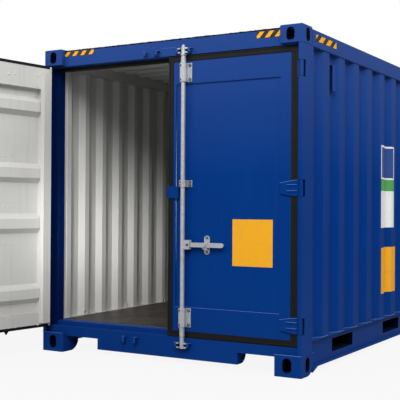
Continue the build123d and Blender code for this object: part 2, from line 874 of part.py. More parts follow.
def hinge_blade(side, z, blade_length):
    """One blade: it lies on the leaf, rises over the seal and curls round its pin."""
    start = hinge_x - blade_length
    top = seal_front_y - blade_t
    with BuildPart() as piece:
        with BuildSketch(Plane.XY.offset(z - hinge_h / 2)):
            with BuildLine():
                Polyline(
                    (side * start, seal_front_y),
                    (side * start, seal_front_y - blade_t / 2),
                    (side * (start + blade_t), top),
                    (side * (leaf_hinge_edge - blade_pad), top),
                    (side * (hinge_x - blade_over_pin), pin_y - blade_over_pin),
                    (side * hinge_x, pin_y),
                    (side * (hinge_x - blade_round_pin), pin_y + knuckle_r),
                    (side * leaf_hinge_edge, seal_front_y),
                    close=True,
                )
            make_face()
            with Locations((side * hinge_x, pin_y)):
                RegularPolygon(knuckle_r, knuckle_sides, major_radius=False)
                Circle(pin_r + pin_play, mode=Mode.SUBTRACT)
        extrude(amount=hinge_h)
        if blade_length > blade_taper:
            for end in (-1, 1):
                with BuildSketch(Plane.XZ.offset(-seal_front_y)):
                    with BuildLine():
                        Polyline(
                            (side * start, z + end * blade_tip_h / 2),
                            (side * (start + blade_taper), z + end * hinge_h / 2),
                            (side * start, z + end * hinge_h / 2),
                            close=True,
                        )
                    make_face()
                extrude(amount=blade_t, mode=Mode.SUBTRACT)
                ridge_z = z + end * ridge_spacing / 2
                u_slab(side, (start + blade_taper / 2, leaf_hinge_edge - blade_pad), (top - ridge_t, top),
                       (ridge_z - ridge_h / 2, ridge_z + ridge_h / 2))
            u_slab(side, (start, leaf_hinge_edge - seal_flap), (seal_front_y, boss_y),
                   (z - blade_tip_h / 2, z + blade_tip_h / 2))
    return piece.part


def door_hinges(side):
    blades = [hinge_blade(side, z, l) for z, l in zip(hinge_heights, blade_lengths)]
    with BuildPart() as piece:
        for blade in blades:
            add(blade)
    return piece.part


def rod_u(side):
    return side * rod_places["right" if side > 0 else "left"]


def rod_bracket(side, z, bracket_h):
    """Bracket on the leaf: a plate with a strap over the rod and a bolted flange beside it."""
    u = rod_u(side)
    seat = panel_y if band_low < z < band_high else boss_y
    plate_y = seat - bracket_plate
    strap_front = rod_y - rod_r - strap_t
    with BuildPart() as piece:
        with BuildSketch(Plane.XY.offset(z - bracket_h / 2)) as section:
            with Locations((side * u, (strap_front + seat) / 2)):
                Rectangle(2 * strap_half, seat - strap_front)
            chamfer(section.vertices().group_by(Axis.Y)[0], strap_corner)
            with Locations((side * u, rod_y)):
                Circle(rod_r + rod_play, mode=Mode.SUBTRACT)
        extrude(amount=bracket_h)
        z_range = (z - bracket_h / 2, z + bracket_h / 2)
        edge = u + strap_half
        u_slab(side, (edge, u + flange_reach), (plate_y, seat), z_range)
        u_slab(side, (edge, edge + flange_groove), (plate_y, plate_y + flange_groove_depth), z_range,
               mode=Mode.SUBTRACT)
    return piece.part


def handle_catch(side):
    """Oval plate with the lip that the handle rests over."""
    u = rod_u(side) + catch_out
    plate_face = Plane(origin=(side * u, panel_y, hub_z), x_dir=(0, 0, 1), z_dir=(0, -1, 0))
    lip_z = hub_z - handle_h / 2 - catch_clear
    with BuildPart() as piece:
        with BuildSketch(plate_face):
            oval(catch_h, catch_w)
        extrude(amount=catch_t)
        u_slab(side, (u - catch_lip_w / 2, u + catch_lip_w / 2), (rod_y, panel_y - catch_t - weld_gap),
               (lip_z - catch_lip_t, lip_z))
    return piece.part


def rod_fittings(side):
    pieces = [handle_catch(side)]
    for z, bracket_h in zip(bracket_heights, (end_bracket_h, mid_bracket_h, end_bracket_h)):
        pieces.append(rod_bracket(side, z, bracket_h))
    with BuildPart() as fittings:
        for piece in pieces:
            add(piece)
    return fittings.part


def cam_arms(side):
    """A pair of tapered arms at each end of the rod, welded to the side where the handle is."""
    outline = (
        (side * (rod_r + weld_gap), -cam_root_w / 2),
        (side * cam_reach, -cam_tip_w / 2),
        (side * cam_reach, cam_tip_w / 2),
        (side * (rod_r + weld_gap), cam_root_w / 2),
    )
    return [cam_plates(side * rod_u(side), z, outline) for z in (low_cam_z, high_cam_z)]


def handle_fork(side):
    """Block on the side of the rod with a slot for the handle and the pin across it."""
    u = rod_u(side)
    z_range = (hub_z - hub_h / 2, hub_z + hub_h / 2)
    with BuildPart() as fork:
        u_slab(side, (u + rod_r + weld_gap, u + fork_reach),
               (rod_y - fork_t / 2, rod_y + fork_t / 2), z_range)
        u_slab(side, (u + handle_pin_out - handle_h / 2 - fork_clear, u + fork_reach),
               (rod_y - fork_slot / 2, rod_y + fork_slot / 2), z_range, mode=Mode.SUBTRACT)
        with BuildSketch(Plane(origin=(side * (u + handle_pin_out), rod_y, hub_z), z_dir=(0, -1, 0))):
            Circle(handle_pin_r)
        extrude(amount=fork_t / 2, both=True)
    return fork.part


def lock_rod(side):
    """Rod with a cam at each end and the fork that carries the handle."""
    x = side * rod_u(side)
    collar_heights = (
        bracket_heights[0] - end_bracket_h / 2 - collar_play - collar_h / 2,
        bracket_heights[-1] + end_bracket_h / 2 + collar_play + collar_h / 2,
    )
    welded_on = cam_arms(side) + [handle_fork(side)]
    with BuildPart() as piece:
        with Locations((x, rod_y, (rod_low + rod_high) / 2)):
            Cylinder(rod_r, rod_high - rod_low)
        with Locations([(x, rod_y, z) for z in collar_heights]):
            Cylinder(collar_r, collar_h)
        with Locations((x, rod_y, rod_high + knob_h / 2)):
            Cylinder(knob_r, knob_h)
        for welded in welded_on:
            add(welded)
    return piece.part


def door_handle(side):
    """Flat bar on the pin of the fork, with the hasp for a seal across it."""
    u = rod_u(side) + handle_pin_out
    bar_face = Plane(origin=(side * u, rod_y, hub_z), x_dir=(side, 0, 0), z_dir=(0, -1, 0))
    with BuildPart() as piece:
        with BuildSketch(bar_face):
            with Locations((handle_length / 2, 0)):
                SlotOverall(handle_length + handle_h, handle_h)
            Circle(handle_pin_r + pin_play, mode=Mode.SUBTRACT)
        extrude(amount=handle_t / 2, both=True)
        with BuildSketch(bar_face.offset(handle_t / 2)):
            with Locations((catch_out - handle_pin_out, 0)):
                SlotOverall(hasp_l, hasp_w, rotation=hasp_tilt)
        extrude(amount=hasp_t)
    return piece.part


for side_name, side in (("left", -1), ("right", 1)):
    write(hang(door_frame(side), side), f"{side_name}_door_frame")
    write(hang(door_panel(side), side), f"{side_name}_door_panel")
    write(hang(door_seal(side), side), f"{side_name}_door_seal")
    write(hang(door_hinges(side), side), f"{side_name}_door_hinges")
    write(hang(rod_fittings(side), side), f"{side_name}_rod_fittings")
    write(hang(lock_rod(side), side), f"{side_name}_lock_rod")
    write(hang(door_handle(side), side), f"{side_name}_door_handle")
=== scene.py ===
# %% [markdown]
# # A ten foot shipping container
# The steel shape comes ready made: walls, frame, doors, castings and lock gear
# are CAD pieces in metres, with their rest pose already set. This lesson gives
# them paint, zinc, rubber and wood, adds the small things that catch light,
# such as bolts, weld beads and stickers, and then sets the light and camera.

import math
import random

import bmesh
import bpy
from mathutils import Matrix, Vector


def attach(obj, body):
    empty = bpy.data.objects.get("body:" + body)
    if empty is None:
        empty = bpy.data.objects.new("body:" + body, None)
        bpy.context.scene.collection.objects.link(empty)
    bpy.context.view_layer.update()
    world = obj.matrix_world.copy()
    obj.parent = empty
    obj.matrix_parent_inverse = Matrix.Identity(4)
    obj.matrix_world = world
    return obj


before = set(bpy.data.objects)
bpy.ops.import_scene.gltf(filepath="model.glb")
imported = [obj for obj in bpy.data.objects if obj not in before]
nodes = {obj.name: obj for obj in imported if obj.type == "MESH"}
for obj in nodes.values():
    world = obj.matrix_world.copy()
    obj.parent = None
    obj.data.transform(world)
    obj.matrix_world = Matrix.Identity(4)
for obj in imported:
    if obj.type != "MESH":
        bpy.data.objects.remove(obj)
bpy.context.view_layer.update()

# %% [markdown]
# ## Helpers for shaders
# Paint makers and designers give colours as sRGB hex codes, but shaders count
# in linear light, so one function turns a code into linear numbers. Another
# adds a node with its settings and links, which keeps each material readable.
# A third turns the real size of a pattern into the scale of its texture.


# %% Colour and node helpers
def linear(code):
    """Turn an sRGB hex code into linear red, green, blue and alpha."""
    channels = [int(code[i : i + 2], 16) / 255 for i in (1, 3, 5)]
    return [c / 12.92 if c <= 0.04045 else ((c + 0.055) / 1.055) ** 2.4 for c in channels] + [1]


def add(tree, kind, inputs=None, **settings):
    """Add a node, set its properties, and link or set its inputs."""
    node = tree.nodes.new(kind)
    for name, value in settings.items():
        setattr(node, name, value)
    for name, value in (inputs or {}).items():
        if isinstance(value, bpy.types.NodeSocket):
            tree.links.new(value, node.inputs[name])
        else:
            node.inputs[name].default_value = value
    return node


def new_material(name):
    """An empty material, with the object coordinates that its patterns use."""
    material = bpy.data.materials.new(name)
    material.use_nodes = True
    tree = material.node_tree
    tree.nodes.clear()
    place = add(tree, "ShaderNodeTexCoord").outputs["Object"]
    return material, tree, place


def per_metre(feature_mm):
    """Scale of a noise whose blotches are about this many millimetres across."""
    return 1000 / feature_mm


print("white is", linear("#ffffff")[:3], "a 50 mm blotch has scale", per_metre(50))

# %% [markdown]
# ## Marine paint on weathering steel
# A container is blasted, primed and sprayed with a two-part paint. The eye sees
# a deep even colour, a slight orange peel, plates that are not quite flat
# between their welds, a film of dust on ledges and low down, faint rain streaks,
# paler edges, partly rubbed and partly a painted highlight, and a paler coat high
# up that is a painted sky reflection. One long shader would be hard to read, so
# each layer of the coat has its own function. The first is the colour of the
# paint itself.


# %% Colour of the coat
def coat_colour(tree, place, height, colour, deep, painted_sky_sheen):
    """The paint's colour: uneven from the spray gun, and paler high up as a painted sky reflection."""
    # Blotches of 400 mm: the paint's depth varies from pass to pass of the gun
    blotch = add(tree, "ShaderNodeTexNoise",
                 {"Vector": place, "Scale": per_metre(400), "Detail": 4.0, "Roughness": 0.6})
    base = add(tree, "ShaderNodeMix",
               {"Factor": blotch.outputs["Fac"], "A": linear(colour), "B": linear(deep)},
               data_type="RGBA")
    # Painted sky reflection: the coat turns paler from chest height, 1.5 m, up to the roof
    high = add(tree, "ShaderNodeMapRange",
               {"Value": height, "From Min": 1.5, "From Max": 2.6, "To Min": 0.0, "To Max": painted_sky_sheen})
    coat = add(tree, "ShaderNodeMix",
               {"Factor": high.outputs[0], "A": base.outputs["Result"], "B": linear("#5069a5")},
               data_type="RGBA")
    return coat.outputs["Result"]


# The paler coat above 1.5 m is a painted sky reflection
print("first layer: blotches of 400 mm, chalk above 1.5 m")

# %% [markdown]
# Dust settles on ledges, which face up, and splashes dry low down. Rain draws
# both into streaks. Each is a share from 0 to 1, so they add up to one mask that
# later mixes the dust's colour in and makes the coat duller there.


# %% Dust, splashes and streaks
def dirt_share(tree, place, height, normal, grit, dust_share, streak_share):
    """How much of the paint is hidden by dirt, from 0 to 0.6."""
    # Rain streaks run down: 30 mm wide and about 900 mm long
    stretched = add(tree, "ShaderNodeMapping", {"Vector": place, "Scale": (1.0, 1.0, 30 / 900)})
    streak = add(tree, "ShaderNodeTexNoise",
                 {"Vector": stretched.outputs[0], "Scale": per_metre(30), "Detail": 3.0})
    streak = add(tree, "ShaderNodeMapRange",
                 {"Value": streak.outputs["Fac"], "From Min": 0.55, "From Max": 0.8,
                  "To Min": 0.0, "To Max": streak_share})
    upward = add(tree, "ShaderNodeSeparateXYZ", {"Vector": normal})
    ledge = add(tree, "ShaderNodeMapRange",
                {"Value": upward.outputs["Z"], "From Min": 0.5, "From Max": 1.0,
                 "To Min": 0.0, "To Max": dust_share * 2})
    # Splashes fade out 750 mm above the ground
    low = add(tree, "ShaderNodeMapRange",
              {"Value": height, "From Min": 0.75, "From Max": 0.05, "To Min": 0.0, "To Max": dust_share})
    dusty = add(tree, "ShaderNodeMath", {0: low.outputs[0], 1: ledge.outputs[0]}, operation="ADD")
    dusty = add(tree, "ShaderNodeMath", {0: dusty.outputs[0], 1: grit}, operation="MULTIPLY")
    dusty = add(tree, "ShaderNodeMath", {0: dusty.outputs[0], 1: streak.outputs[0]}, operation="ADD")
    dusty = add(tree, "ShaderNodeMath", {0: dusty.outputs[0], 1: 0.6}, operation="MINIMUM")
    return dusty.outputs[0]


print("second layer: streaks of 30 by 900 mm, splashes up to 750 mm")

# %% [markdown]
# Pale edges come from the Bevel node: where its rounded normal differs from the
# flat one, an edge is near, and there the coat is mixed to a paler colour, partly
# as rubbed paint and partly as a painted highlight. It also rounds the sharp CAD
# edges a little, so that they catch the light as folded plate does. The sway of
# the plates and the orange peel are too shallow to be modelled, so they are bump.


# %% Rubbed edges and relief
def edge_share(tree, rounded, flat_normal, grit):
    """How much an edge is paled, as rubbed paint and painted highlight: the rounded normal leans away
    from the flat one.
    """
    lean = add(tree, "ShaderNodeVectorMath", {0: rounded, 1: flat_normal}, operation="DOT_PRODUCT")
    edge = add(tree, "ShaderNodeMapRange",
               {"Value": lean.outputs["Value"], "From Min": 0.97, "From Max": 0.8,
                "To Min": 0.0, "To Max": 0.75})
    edge = add(tree, "ShaderNodeMath", {0: edge.outputs[0], 1: grit}, operation="MULTIPLY")
    return edge.outputs[0]


def plate_relief(tree, place, rounded):
    """Normals of a sprayed plate that has warped a little between its welds."""
    # Orange peel is about 2 mm across: it is drawn at 6 mm, so that it shows
    peel = add(tree, "ShaderNodeTexNoise", {"Vector": place, "Scale": per_metre(6), "Detail": 2.0})
    # Plate between welds is out of flat over 350 mm or so
    sway = add(tree, "ShaderNodeTexNoise", {"Vector": place, "Scale": per_metre(350), "Detail": 1.0})
    bump = add(tree, "ShaderNodeBump",
               {"Height": sway.outputs["Fac"], "Distance": 0.006, "Strength": 0.5, "Normal": rounded})
    bump = add(tree, "ShaderNodeBump",
               {"Height": peel.outputs["Fac"], "Distance": 0.0003, "Strength": 0.35,
                "Normal": bump.outputs[0]})
    return bump.outputs[0]


print("third layer: 2.5 mm edges, peel drawn at 6 mm, sway of 350 mm")

# %% [markdown]
# One recipe serves the blue outside and the pale inside, because only the
# colours and the amount of dirt differ. Two-part paint has an IOR near 1.5. A
# weathered coat has lost most of its gloss, so its specular level is matched to
# the dull blue of the photo, far under the 0.5 of a new one.


# %% Sprayed paint
def sprayed_paint(name, colour, deep, rubbed_and_highlight, dust, dust_share, streak_share, rough, sheen, painted_sky_sheen=0.0):
    material, tree, place = new_material(name)
    rounded = add(tree, "ShaderNodeBevel", {"Radius": 0.0025}, samples=4).outputs[0]
    flat = add(tree, "ShaderNodeNewGeometry")
    height = add(tree, "ShaderNodeSeparateXYZ", {"Vector": place}).outputs["Z"]
    # Dirt and wear are broken up by grit in patches of 60 mm
    grit = add(tree, "ShaderNodeTexNoise",
               {"Vector": place, "Scale": per_metre(60), "Detail": 8.0, "Roughness": 0.7}).outputs["Fac"]
    coat = coat_colour(tree, place, height, colour, deep, painted_sky_sheen)
    dusty = dirt_share(tree, place, height, flat.outputs["Normal"], grit, dust_share, streak_share)
    coat = add(tree, "ShaderNodeMix", {"Factor": dusty, "A": coat, "B": linear(dust)}, data_type="RGBA")
    # Near edges the coat turns paler: rubbed paint and a painted highlight
    edge = edge_share(tree, rounded, flat.outputs["True Normal"], grit)
    coat = add(tree, "ShaderNodeMix",
               {"Factor": edge, "A": coat.outputs["Result"], "B": linear(rubbed_and_highlight)}, data_type="RGBA")
    shine = add(tree, "ShaderNodeMapRange",
                {"Value": dusty, "From Min": 0.0, "From Max": 0.5,
                 "To Min": rough, "To Max": min(1.0, rough + 0.35)})
    shader = add(tree, "ShaderNodeBsdfPrincipled",
                 {"Base Color": coat.outputs["Result"], "Roughness": shine.outputs[0],
                  "Normal": plate_relief(tree, place, rounded), "IOR": 1.5, "Specular IOR Level": sheen})
    add(tree, "ShaderNodeOutputMaterial", {"Surface": shader.outputs[0]})
    return material


marine_blue = sprayed_paint("sprayed_marine_paint_blue", "#003780", "#003078", "#3a5f9e", "#5f6d82",
                            dust_share=0.04, streak_share=0.02, rough=0.4, sheen=0.05, painted_sky_sheen=0.22)
cargo_grey = sprayed_paint("sprayed_cargo_paint_pale_grey", "#d2d1cd", "#c4c3bf", "#f0efec", "#8c8478",
                           dust_share=0.22, streak_share=0.16, rough=0.5, sheen=0.4)
# Inside the castings and fork pockets the paint is near black: painted shade in the hollows
cavity_shade_paint = sprayed_paint("marine_paint_painted_cavity_shade",
                             "#060f2e", "#040a20", "#2a3f78", "#26241f",
                             dust_share=0.1, streak_share=0.05, rough=0.75, sheen=0.05)
# Where the seals press, the posts' inner faces are darker blue: painted shade
post_shade_blue = sprayed_paint("marine_paint_painted_shade_on_posts",
                             "#04205a", "#031848", "#2a3f78", "#26241f",
                             dust_share=0.05, streak_share=0.05, rough=0.6, sheen=0.05)
# A paler blue for bars along edges that catch the light: painted highlights
highlight_blue = sprayed_paint("marine_paint_painted_highlight", "#5b7fc4", "#3f62a8", "#8fa9dc", "#5f6d82",
                          dust_share=0.05, streak_share=0.02, rough=0.55, sheen=0.2)
paints = (marine_blue, cargo_grey, cavity_shade_paint, post_shade_blue, highlight_blue)
print("paints:", [paint.name for paint in paints])

# %% [markdown]
# ## Hot-dip galvanised steel
# The lock rods, brackets and handles are dipped in molten zinc. Zinc freezes in
# flat crystals, the spangle, so a rod is a patchwork of slightly different greys
# with soft, dull reflections. A noise would smear the greys into each other, so
# a Voronoi pattern gives one grey to each crystal. Clean zinc has a metallic
# value of 1. Years outdoors cover it with a dull grey oxide, which mirrors less,
# so it is matched at 0.55.


# %% Galvanised steel
def galvanised(name, dark, pale, stain):
    material, tree, place = new_material(name)
    rounded = add(tree, "ShaderNodeBevel", {"Radius": 0.0015}, samples=4).outputs[0]
    # Spangle is 8 to 15 mm across
    spangle = add(tree, "ShaderNodeTexVoronoi", {"Vector": place, "Scale": per_metre(12)})
    grey = add(tree, "ShaderNodeSeparateColor", {"Color": spangle.outputs["Color"]}).outputs[0]
    crystals = add(tree, "ShaderNodeMix",
                   {"Factor": grey, "A": linear(dark), "B": linear(pale)}, data_type="RGBA")
    # White rust and dirt gather in blotches of 80 mm
    blotch = add(tree, "ShaderNodeTexNoise",
                 {"Vector": place, "Scale": per_metre(80), "Detail": 6.0, "Roughness": 0.65})
    stained = add(tree, "ShaderNodeMapRange",
                  {"Value": blotch.outputs["Fac"], "From Min": 0.5, "From Max": 0.75,
                   "To Min": 0.0, "To Max": 0.45})
    surface = add(tree, "ShaderNodeMix",
                  {"Factor": stained.outputs[0], "A": crystals.outputs["Result"], "B": linear(stain)},
                  data_type="RGBA")
    shine = add(tree, "ShaderNodeMapRange", {"Value": grey, "To Min": 0.38, "To Max": 0.55})
    bump = add(tree, "ShaderNodeBump",
               {"Height": blotch.outputs["Fac"], "Distance": 0.0008, "Strength": 0.4, "Normal": rounded})
    shader = add(tree, "ShaderNodeBsdfPrincipled",
                 {"Base Color": surface.outputs["Result"], "Metallic": 0.55,
                  "Roughness": shine.outputs[0], "Normal": bump.outputs[0]})
    add(tree, "ShaderNodeOutputMaterial", {"Surface": shader.outputs[0]})
    return material


zinc = galvanised("galvanised_steel_spangled", "#b9bcc1", "#c7cacd", "#a5a4a1")
# Bolts are plated, not dipped, and turn dull first; their dark grey is partly painted shade round the
# heads
shaded_dull_zinc = galvanised("zinc_plated_bolts_weathered_and_painted_shade", "#5d6064", "#777a7d", "#3c3733")
print("metals:", zinc.name, shaded_dull_zinc.name)

# %% [markdown]
# ## Extruded rubber for the door seals
# The seal is EPDM, a carbon-black rubber pushed through a die, so it is matt with
# fine lines. Dust sticks to it and greys it in patches. Modelled ribs would be
# lost at this size, so the lines are bump and the dust is a second colour.


# %% Rubber
def extruded_rubber(name):
    material, tree, place = new_material(name)
    # Die lines are under 1 mm apart: they are drawn at 4 mm
    lines = add(tree, "ShaderNodeTexNoise", {"Vector": place, "Scale": per_metre(4), "Detail": 2.0})
    # Dust clings in patches of 120 mm
    dirt = add(tree, "ShaderNodeTexNoise",
               {"Vector": place, "Scale": per_metre(120), "Detail": 7.0, "Roughness": 0.7})
    dusty = add(tree, "ShaderNodeMapRange",
                {"Value": dirt.outputs["Fac"], "From Min": 0.45, "From Max": 0.8,
                 "To Min": 0.0, "To Max": 0.35})
    colour = add(tree, "ShaderNodeMix",
                 {"Factor": dusty.outputs[0], "A": linear("#060607"), "B": linear("#17181b")},
                 data_type="RGBA")
    bump = add(tree, "ShaderNodeBump",
               {"Height": lines.outputs["Fac"], "Distance": 0.0004, "Strength": 0.4})
    shader = add(tree, "ShaderNodeBsdfPrincipled",
                 {"Base Color": colour.outputs["Result"], "Roughness": 0.55,
                  "Normal": bump.outputs[0], "IOR": 1.52, "Specular IOR Level": 0.25})
    add(tree, "ShaderNodeOutputMaterial", {"Surface": shader.outputs[0]})
    return material


rubber = extruded_rubber("epdm_rubber_extruded")
print("rubber:", rubber.name)

# %% [markdown]
# ## Keruing plywood with worn varnish
# Container floors are 28 mm tropical plywood. The face grain runs along the
# container, dark brown where varnish is left and greyer in the wheel tracks.
# A picture of wood would repeat, so the grain is one noise, stretched along the
# boards.


# %% Plywood
def floor_plywood(name):
    material, tree, place = new_material(name)
    # Grain is 12 mm wide and half a metre long
    along = add(tree, "ShaderNodeMapping", {"Vector": place, "Scale": (1.0, 12 / 500, 1.0)})
    grain = add(tree, "ShaderNodeTexNoise",
                {"Vector": along.outputs[0], "Scale": per_metre(12), "Detail": 9.0,
                 "Roughness": 0.62, "Distortion": 0.6})
    wood = add(tree, "ShaderNodeMix",
               {"Factor": grain.outputs["Fac"], "A": linear("#150e09"), "B": linear("#2d2118")},
               data_type="RGBA")
    # Wheels and pallets wear the varnish in patches of 450 mm
    track = add(tree, "ShaderNodeTexNoise",
                {"Vector": place, "Scale": per_metre(450), "Detail": 6.0, "Roughness": 0.7})
    worn = add(tree, "ShaderNodeMapRange",
               {"Value": track.outputs["Fac"], "From Min": 0.4, "From Max": 0.7,
                "To Min": 0.0, "To Max": 0.5})
    wood = add(tree, "ShaderNodeMix",
               {"Factor": worn.outputs[0], "A": wood.outputs["Result"], "B": linear("#3f3228")},
               data_type="RGBA")
    shine = add(tree, "ShaderNodeMapRange", {"Value": worn.outputs[0], "To Min": 0.4, "To Max": 0.85})
    bump = add(tree, "ShaderNodeBump",
               {"Height": grain.outputs["Fac"], "Distance": 0.0012, "Strength": 0.5})
    shader = add(tree, "ShaderNodeBsdfPrincipled",
                 {"Base Color": wood.outputs["Result"], "Roughness": shine.outputs[0],
                  "Normal": bump.outputs[0]})
    add(tree, "ShaderNodeOutputMaterial", {"Surface": shader.outputs[0]})
    return material


plywood = floor_plywood("keruing_plywood_varnished")
print("wood:", plywood.name)

# %% [markdown]
# ## Calendered vinyl for plates and stripes
# The warning stripes and plates are vinyl film: even colour, a soft sheen, and a
# fine texture where it has drawn down on the paint. One flat colour would look
# like a hole in the paint, so a little road dirt is mixed in. The faces stay bare.


# %% Vinyl
def vinyl_film(name, code):
    material, tree, place = new_material(name)
    # Road dirt lies on it in patches of 90 mm
    dirt = add(tree, "ShaderNodeTexNoise",
               {"Vector": place, "Scale": per_metre(90), "Detail": 6.0, "Roughness": 0.7})
    dusty = add(tree, "ShaderNodeMapRange",
                {"Value": dirt.outputs["Fac"], "From Min": 0.5, "From Max": 0.85,
                 "To Min": 0.0, "To Max": 0.25})
    colour = add(tree, "ShaderNodeMix",
                 {"Factor": dusty.outputs[0], "A": linear(code), "B": linear("#77706a")},
                 data_type="RGBA")
    # The grain of the drawn film is under 1 mm: it is drawn at 5 mm
    drawn = add(tree, "ShaderNodeTexNoise", {"Vector": place, "Scale": per_metre(5), "Detail": 3.0})
    bump = add(tree, "ShaderNodeBump",
               {"Height": drawn.outputs["Fac"], "Distance": 0.0002, "Strength": 0.3})
    shader = add(tree, "ShaderNodeBsdfPrincipled",
                 {"Base Color": colour.outputs["Result"], "Roughness": 0.45, "Normal": bump.outputs[0]})
    add(tree, "ShaderNodeOutputMaterial", {"Surface": shader.outputs[0]})
    return material


yellow_vinyl = vinyl_film("calendered_vinyl_yellow", "#f0a800")
black_vinyl = vinyl_film("calendered_vinyl_black", "#101114")
white_vinyl = vinyl_film("calendered_vinyl_white", "#e6e7e4")
green_vinyl = vinyl_film("calendered_vinyl_green", "#4a9a4e")
blue_vinyl = vinyl_film("calendered_vinyl_blue", "#143f86")
print("films:", [m.name for m in (yellow_vinyl, black_vinyl, white_vinyl, green_vinyl, blue_vinyl)])

# %% [markdown]
# ## Two paints on one sheet
# A wall is one sheet of steel that is blue outside and pale inside. It could be
# cut in two, but its CAD mesh is kept whole. Each face of its mesh already knows
# where it is and which way it looks, so the faces that look into the container
# take the second material.


# %% Paint the walls and the frame
def finish_node(name, outside, inside=None, looks_inside=None):
    """Give a CAD piece one finish, or a second one on the faces that pass a test."""
    mesh = nodes[name].data
    mesh.materials.clear()
    mesh.materials.append(outside)
    if inside:
        mesh.materials.append(inside)
    for face in mesh.polygons:
        face.material_index = 1 if inside and looks_inside(face.center, face.normal) else 0


# Which faces look at the cargo: at is a face's middle in metres, out its normal
faces_cargo = {
    "side_wall_left": lambda at, out: out.x > 0.1,
    "side_wall_right": lambda at, out: out.x < -0.1,
    "rear_wall": lambda at, out: out.y < -0.1,
    "rear_posts": lambda at, out: out.y < -0.5 or out.x * at.x < -0.5,
    "rear_header": lambda at, out: out.y < -0.5 or out.z < -0.5,
    "rear_sill": lambda at, out: out.y < -0.5,
    "roof_panel": lambda at, out: out.z < -0.1,
    "top_side_rails": lambda at, out: out.x * at.x < 0 and out.z < 0.5,
    "bottom_side_rails": lambda at, out: out.x * at.x < -0.5,
}
for name in nodes:
    finish_node(name, marine_blue)
for name, test in faces_cargo.items():
    finish_node(name, marine_blue, cargo_grey, test)
finish_node("lashing_rings", cargo_grey)
finish_node("plywood_floor", plywood)
print("two paints on:", list(faces_cargo))

# %% [markdown]
# ## Painted shade in hollows and on the posts, a black lip and bare teeth
# Some places are neither fresh blue nor pale. The insides of castings and fork
# pockets are near black as painted shade, the posts are darker where the seals
# press as painted shade, the header's lip is given the black rubber finish, and
# the teeth of the right keepers have lost their paint. The same test of place and
# direction finds all of them.


# %% Finish the hollows, sealing faces and teeth
def looks_inward(name):
    """A test for the faces that look towards the middle of a hollow piece."""
    corners = [Vector(c) for c in nodes[name].bound_box]
    middle = (corners[0] + corners[6]) / 2
    return lambda at, out: (at - middle).dot(out) < 0


def on_teeth(at, out):
    """The right keepers' teeth stand 24 to 46.5 mm from the middle of their rod."""
    right_rod_x = 0.1845
    return 0.024 < right_rod_x - at.x < 0.0465


hollow = [name for name in nodes if "casting" in name or "fork_pocket" in name]
# Painted shade: the inward faces of hollow pieces take the near-black paint
for name in hollow:
    finish_node(name, marine_blue, cavity_shade_paint, looks_inward(name))
# Painted shade: the posts' inner faces behind the seals take the darker blue
for name in ("door_post_left", "door_post_right"):
    finish_node(name, marine_blue, post_shade_blue,
                lambda at, out: at.y > -1.44 and (out.x * at.x < 0 or out.y < -0.5))
# The header's lip below 2.4465 m is made black with the rubber finish
finish_node("door_header", marine_blue, rubber, lambda at, out: at.z < 2.4465)
finish_node("header_keepers", marine_blue, zinc, on_teeth)
finish_node("sill_keepers", marine_blue, zinc, on_teeth)
print("hollow pieces:", len(hollow))

# %% [markdown]
# ## The doors
# A door's inside is the face that looks to its back when it is shut. The left
# door stands open by 97 degrees, so the place and normal of its faces are first
# swung back about the hinge. The same swing, the other way round, later opens
# the pieces that are added to this door.

# %% Finish the doors
open_angle = math.radians(97)
left_hinge = Vector((-1.206, -1.481, 0))
swing_left = (Matrix.Translation(left_hinge) @ Matrix.Rotation(-open_angle, 4, "Z")
              @ Matrix.Translation(-left_hinge))
swing_back = swing_left.inverted()
sheet_front = -1.4335


def looks_into_cargo(side, at, out):
    """True for a face of a door that is behind its sheet when the door is shut."""
    if side == "left":
        at = swing_back @ at
        out = swing_back.to_3x3() @ out
    return out.y > 0.2 or (at.y > sheet_front + 0.003 and out.y > -0.9)


for side in ("left", "right"):
    for piece in ("door_frame", "door_panel"):
        finish_node(f"{side}_{piece}", marine_blue, cargo_grey,
                    lambda at, out, s=side: looks_into_cargo(s, at, out))
    finish_node(f"{side}_door_seal", rubber)
    for piece in ("rod_fittings", "lock_rod", "door_handle"):
        finish_node(f"{side}_{piece}", zinc)
print("finished nodes:", len(nodes))

# %% [markdown]
# ## Smooth where it is round
# CAD meshes come with hard faces. A rod or a pin should shade as one round
# surface, while a plate keeps its corners, so faces are smooth and edges sharper
# than 30 degrees stay sharp.

# %% Shade the CAD pieces
for name, node in nodes.items():
    mesh = node.data
    mesh.polygons.foreach_set("use_smooth", [True] * len(mesh.polygons))
    mesh.set_sharp_from_angle(angle=math.radians(30))
print("shaded", len(nodes), "pieces")

# %% [markdown]
# ## A small kit for added pieces
# Everything that is added is drawn in millimetres as the container stands with
# both doors shut, which is how a drawing would give it. A piece for the left
# door is then swung open about its hinge, and each piece rides on its own body,
# so that it follows the door, rod or handle in every pose.


# %% From a drawing to an object
def make_piece(name, mesh_builder, material, body, smooth=False, swung=False):
    """Collect what mesh_builder draws in millimetres into one object on a body."""
    shape = bmesh.new()
    mesh_builder(shape)
    bmesh.ops.recalc_face_normals(shape, faces=shape.faces)
    bmesh.ops.scale(shape, vec=(0.001, 0.001, 0.001), verts=shape.verts)
    if swung:
        bmesh.ops.transform(shape, matrix=swing_left, verts=shape.verts)
    mesh = bpy.data.meshes.new(name)
    shape.to_mesh(mesh)
    shape.free()
    mesh.materials.append(material)
    if smooth:
        mesh.polygons.foreach_set("use_smooth", [True] * len(mesh.polygons))
        mesh.set_sharp_from_angle(angle=math.radians(40))
    piece = bpy.data.objects.new(name, mesh)
    bpy.context.scene.collection.objects.link(piece)
    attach(piece, body)
    print(name, len(mesh.polygons), "faces on", body)


print("a piece drawn at (1, 0, 0) mm on the left door is swung to", swing_left @ Vector((0.001, 0, 0)))

# %% [markdown]
# Three ways of drawing are enough. A head or a collar is turned on a lathe, a
# plate is cut from a flat outline, and a weld, a lip or a worn edge is a bar
# along a line. Cubes and cylinders would be quicker, but they have none of the
# chamfers and uneven edges that catch the light.


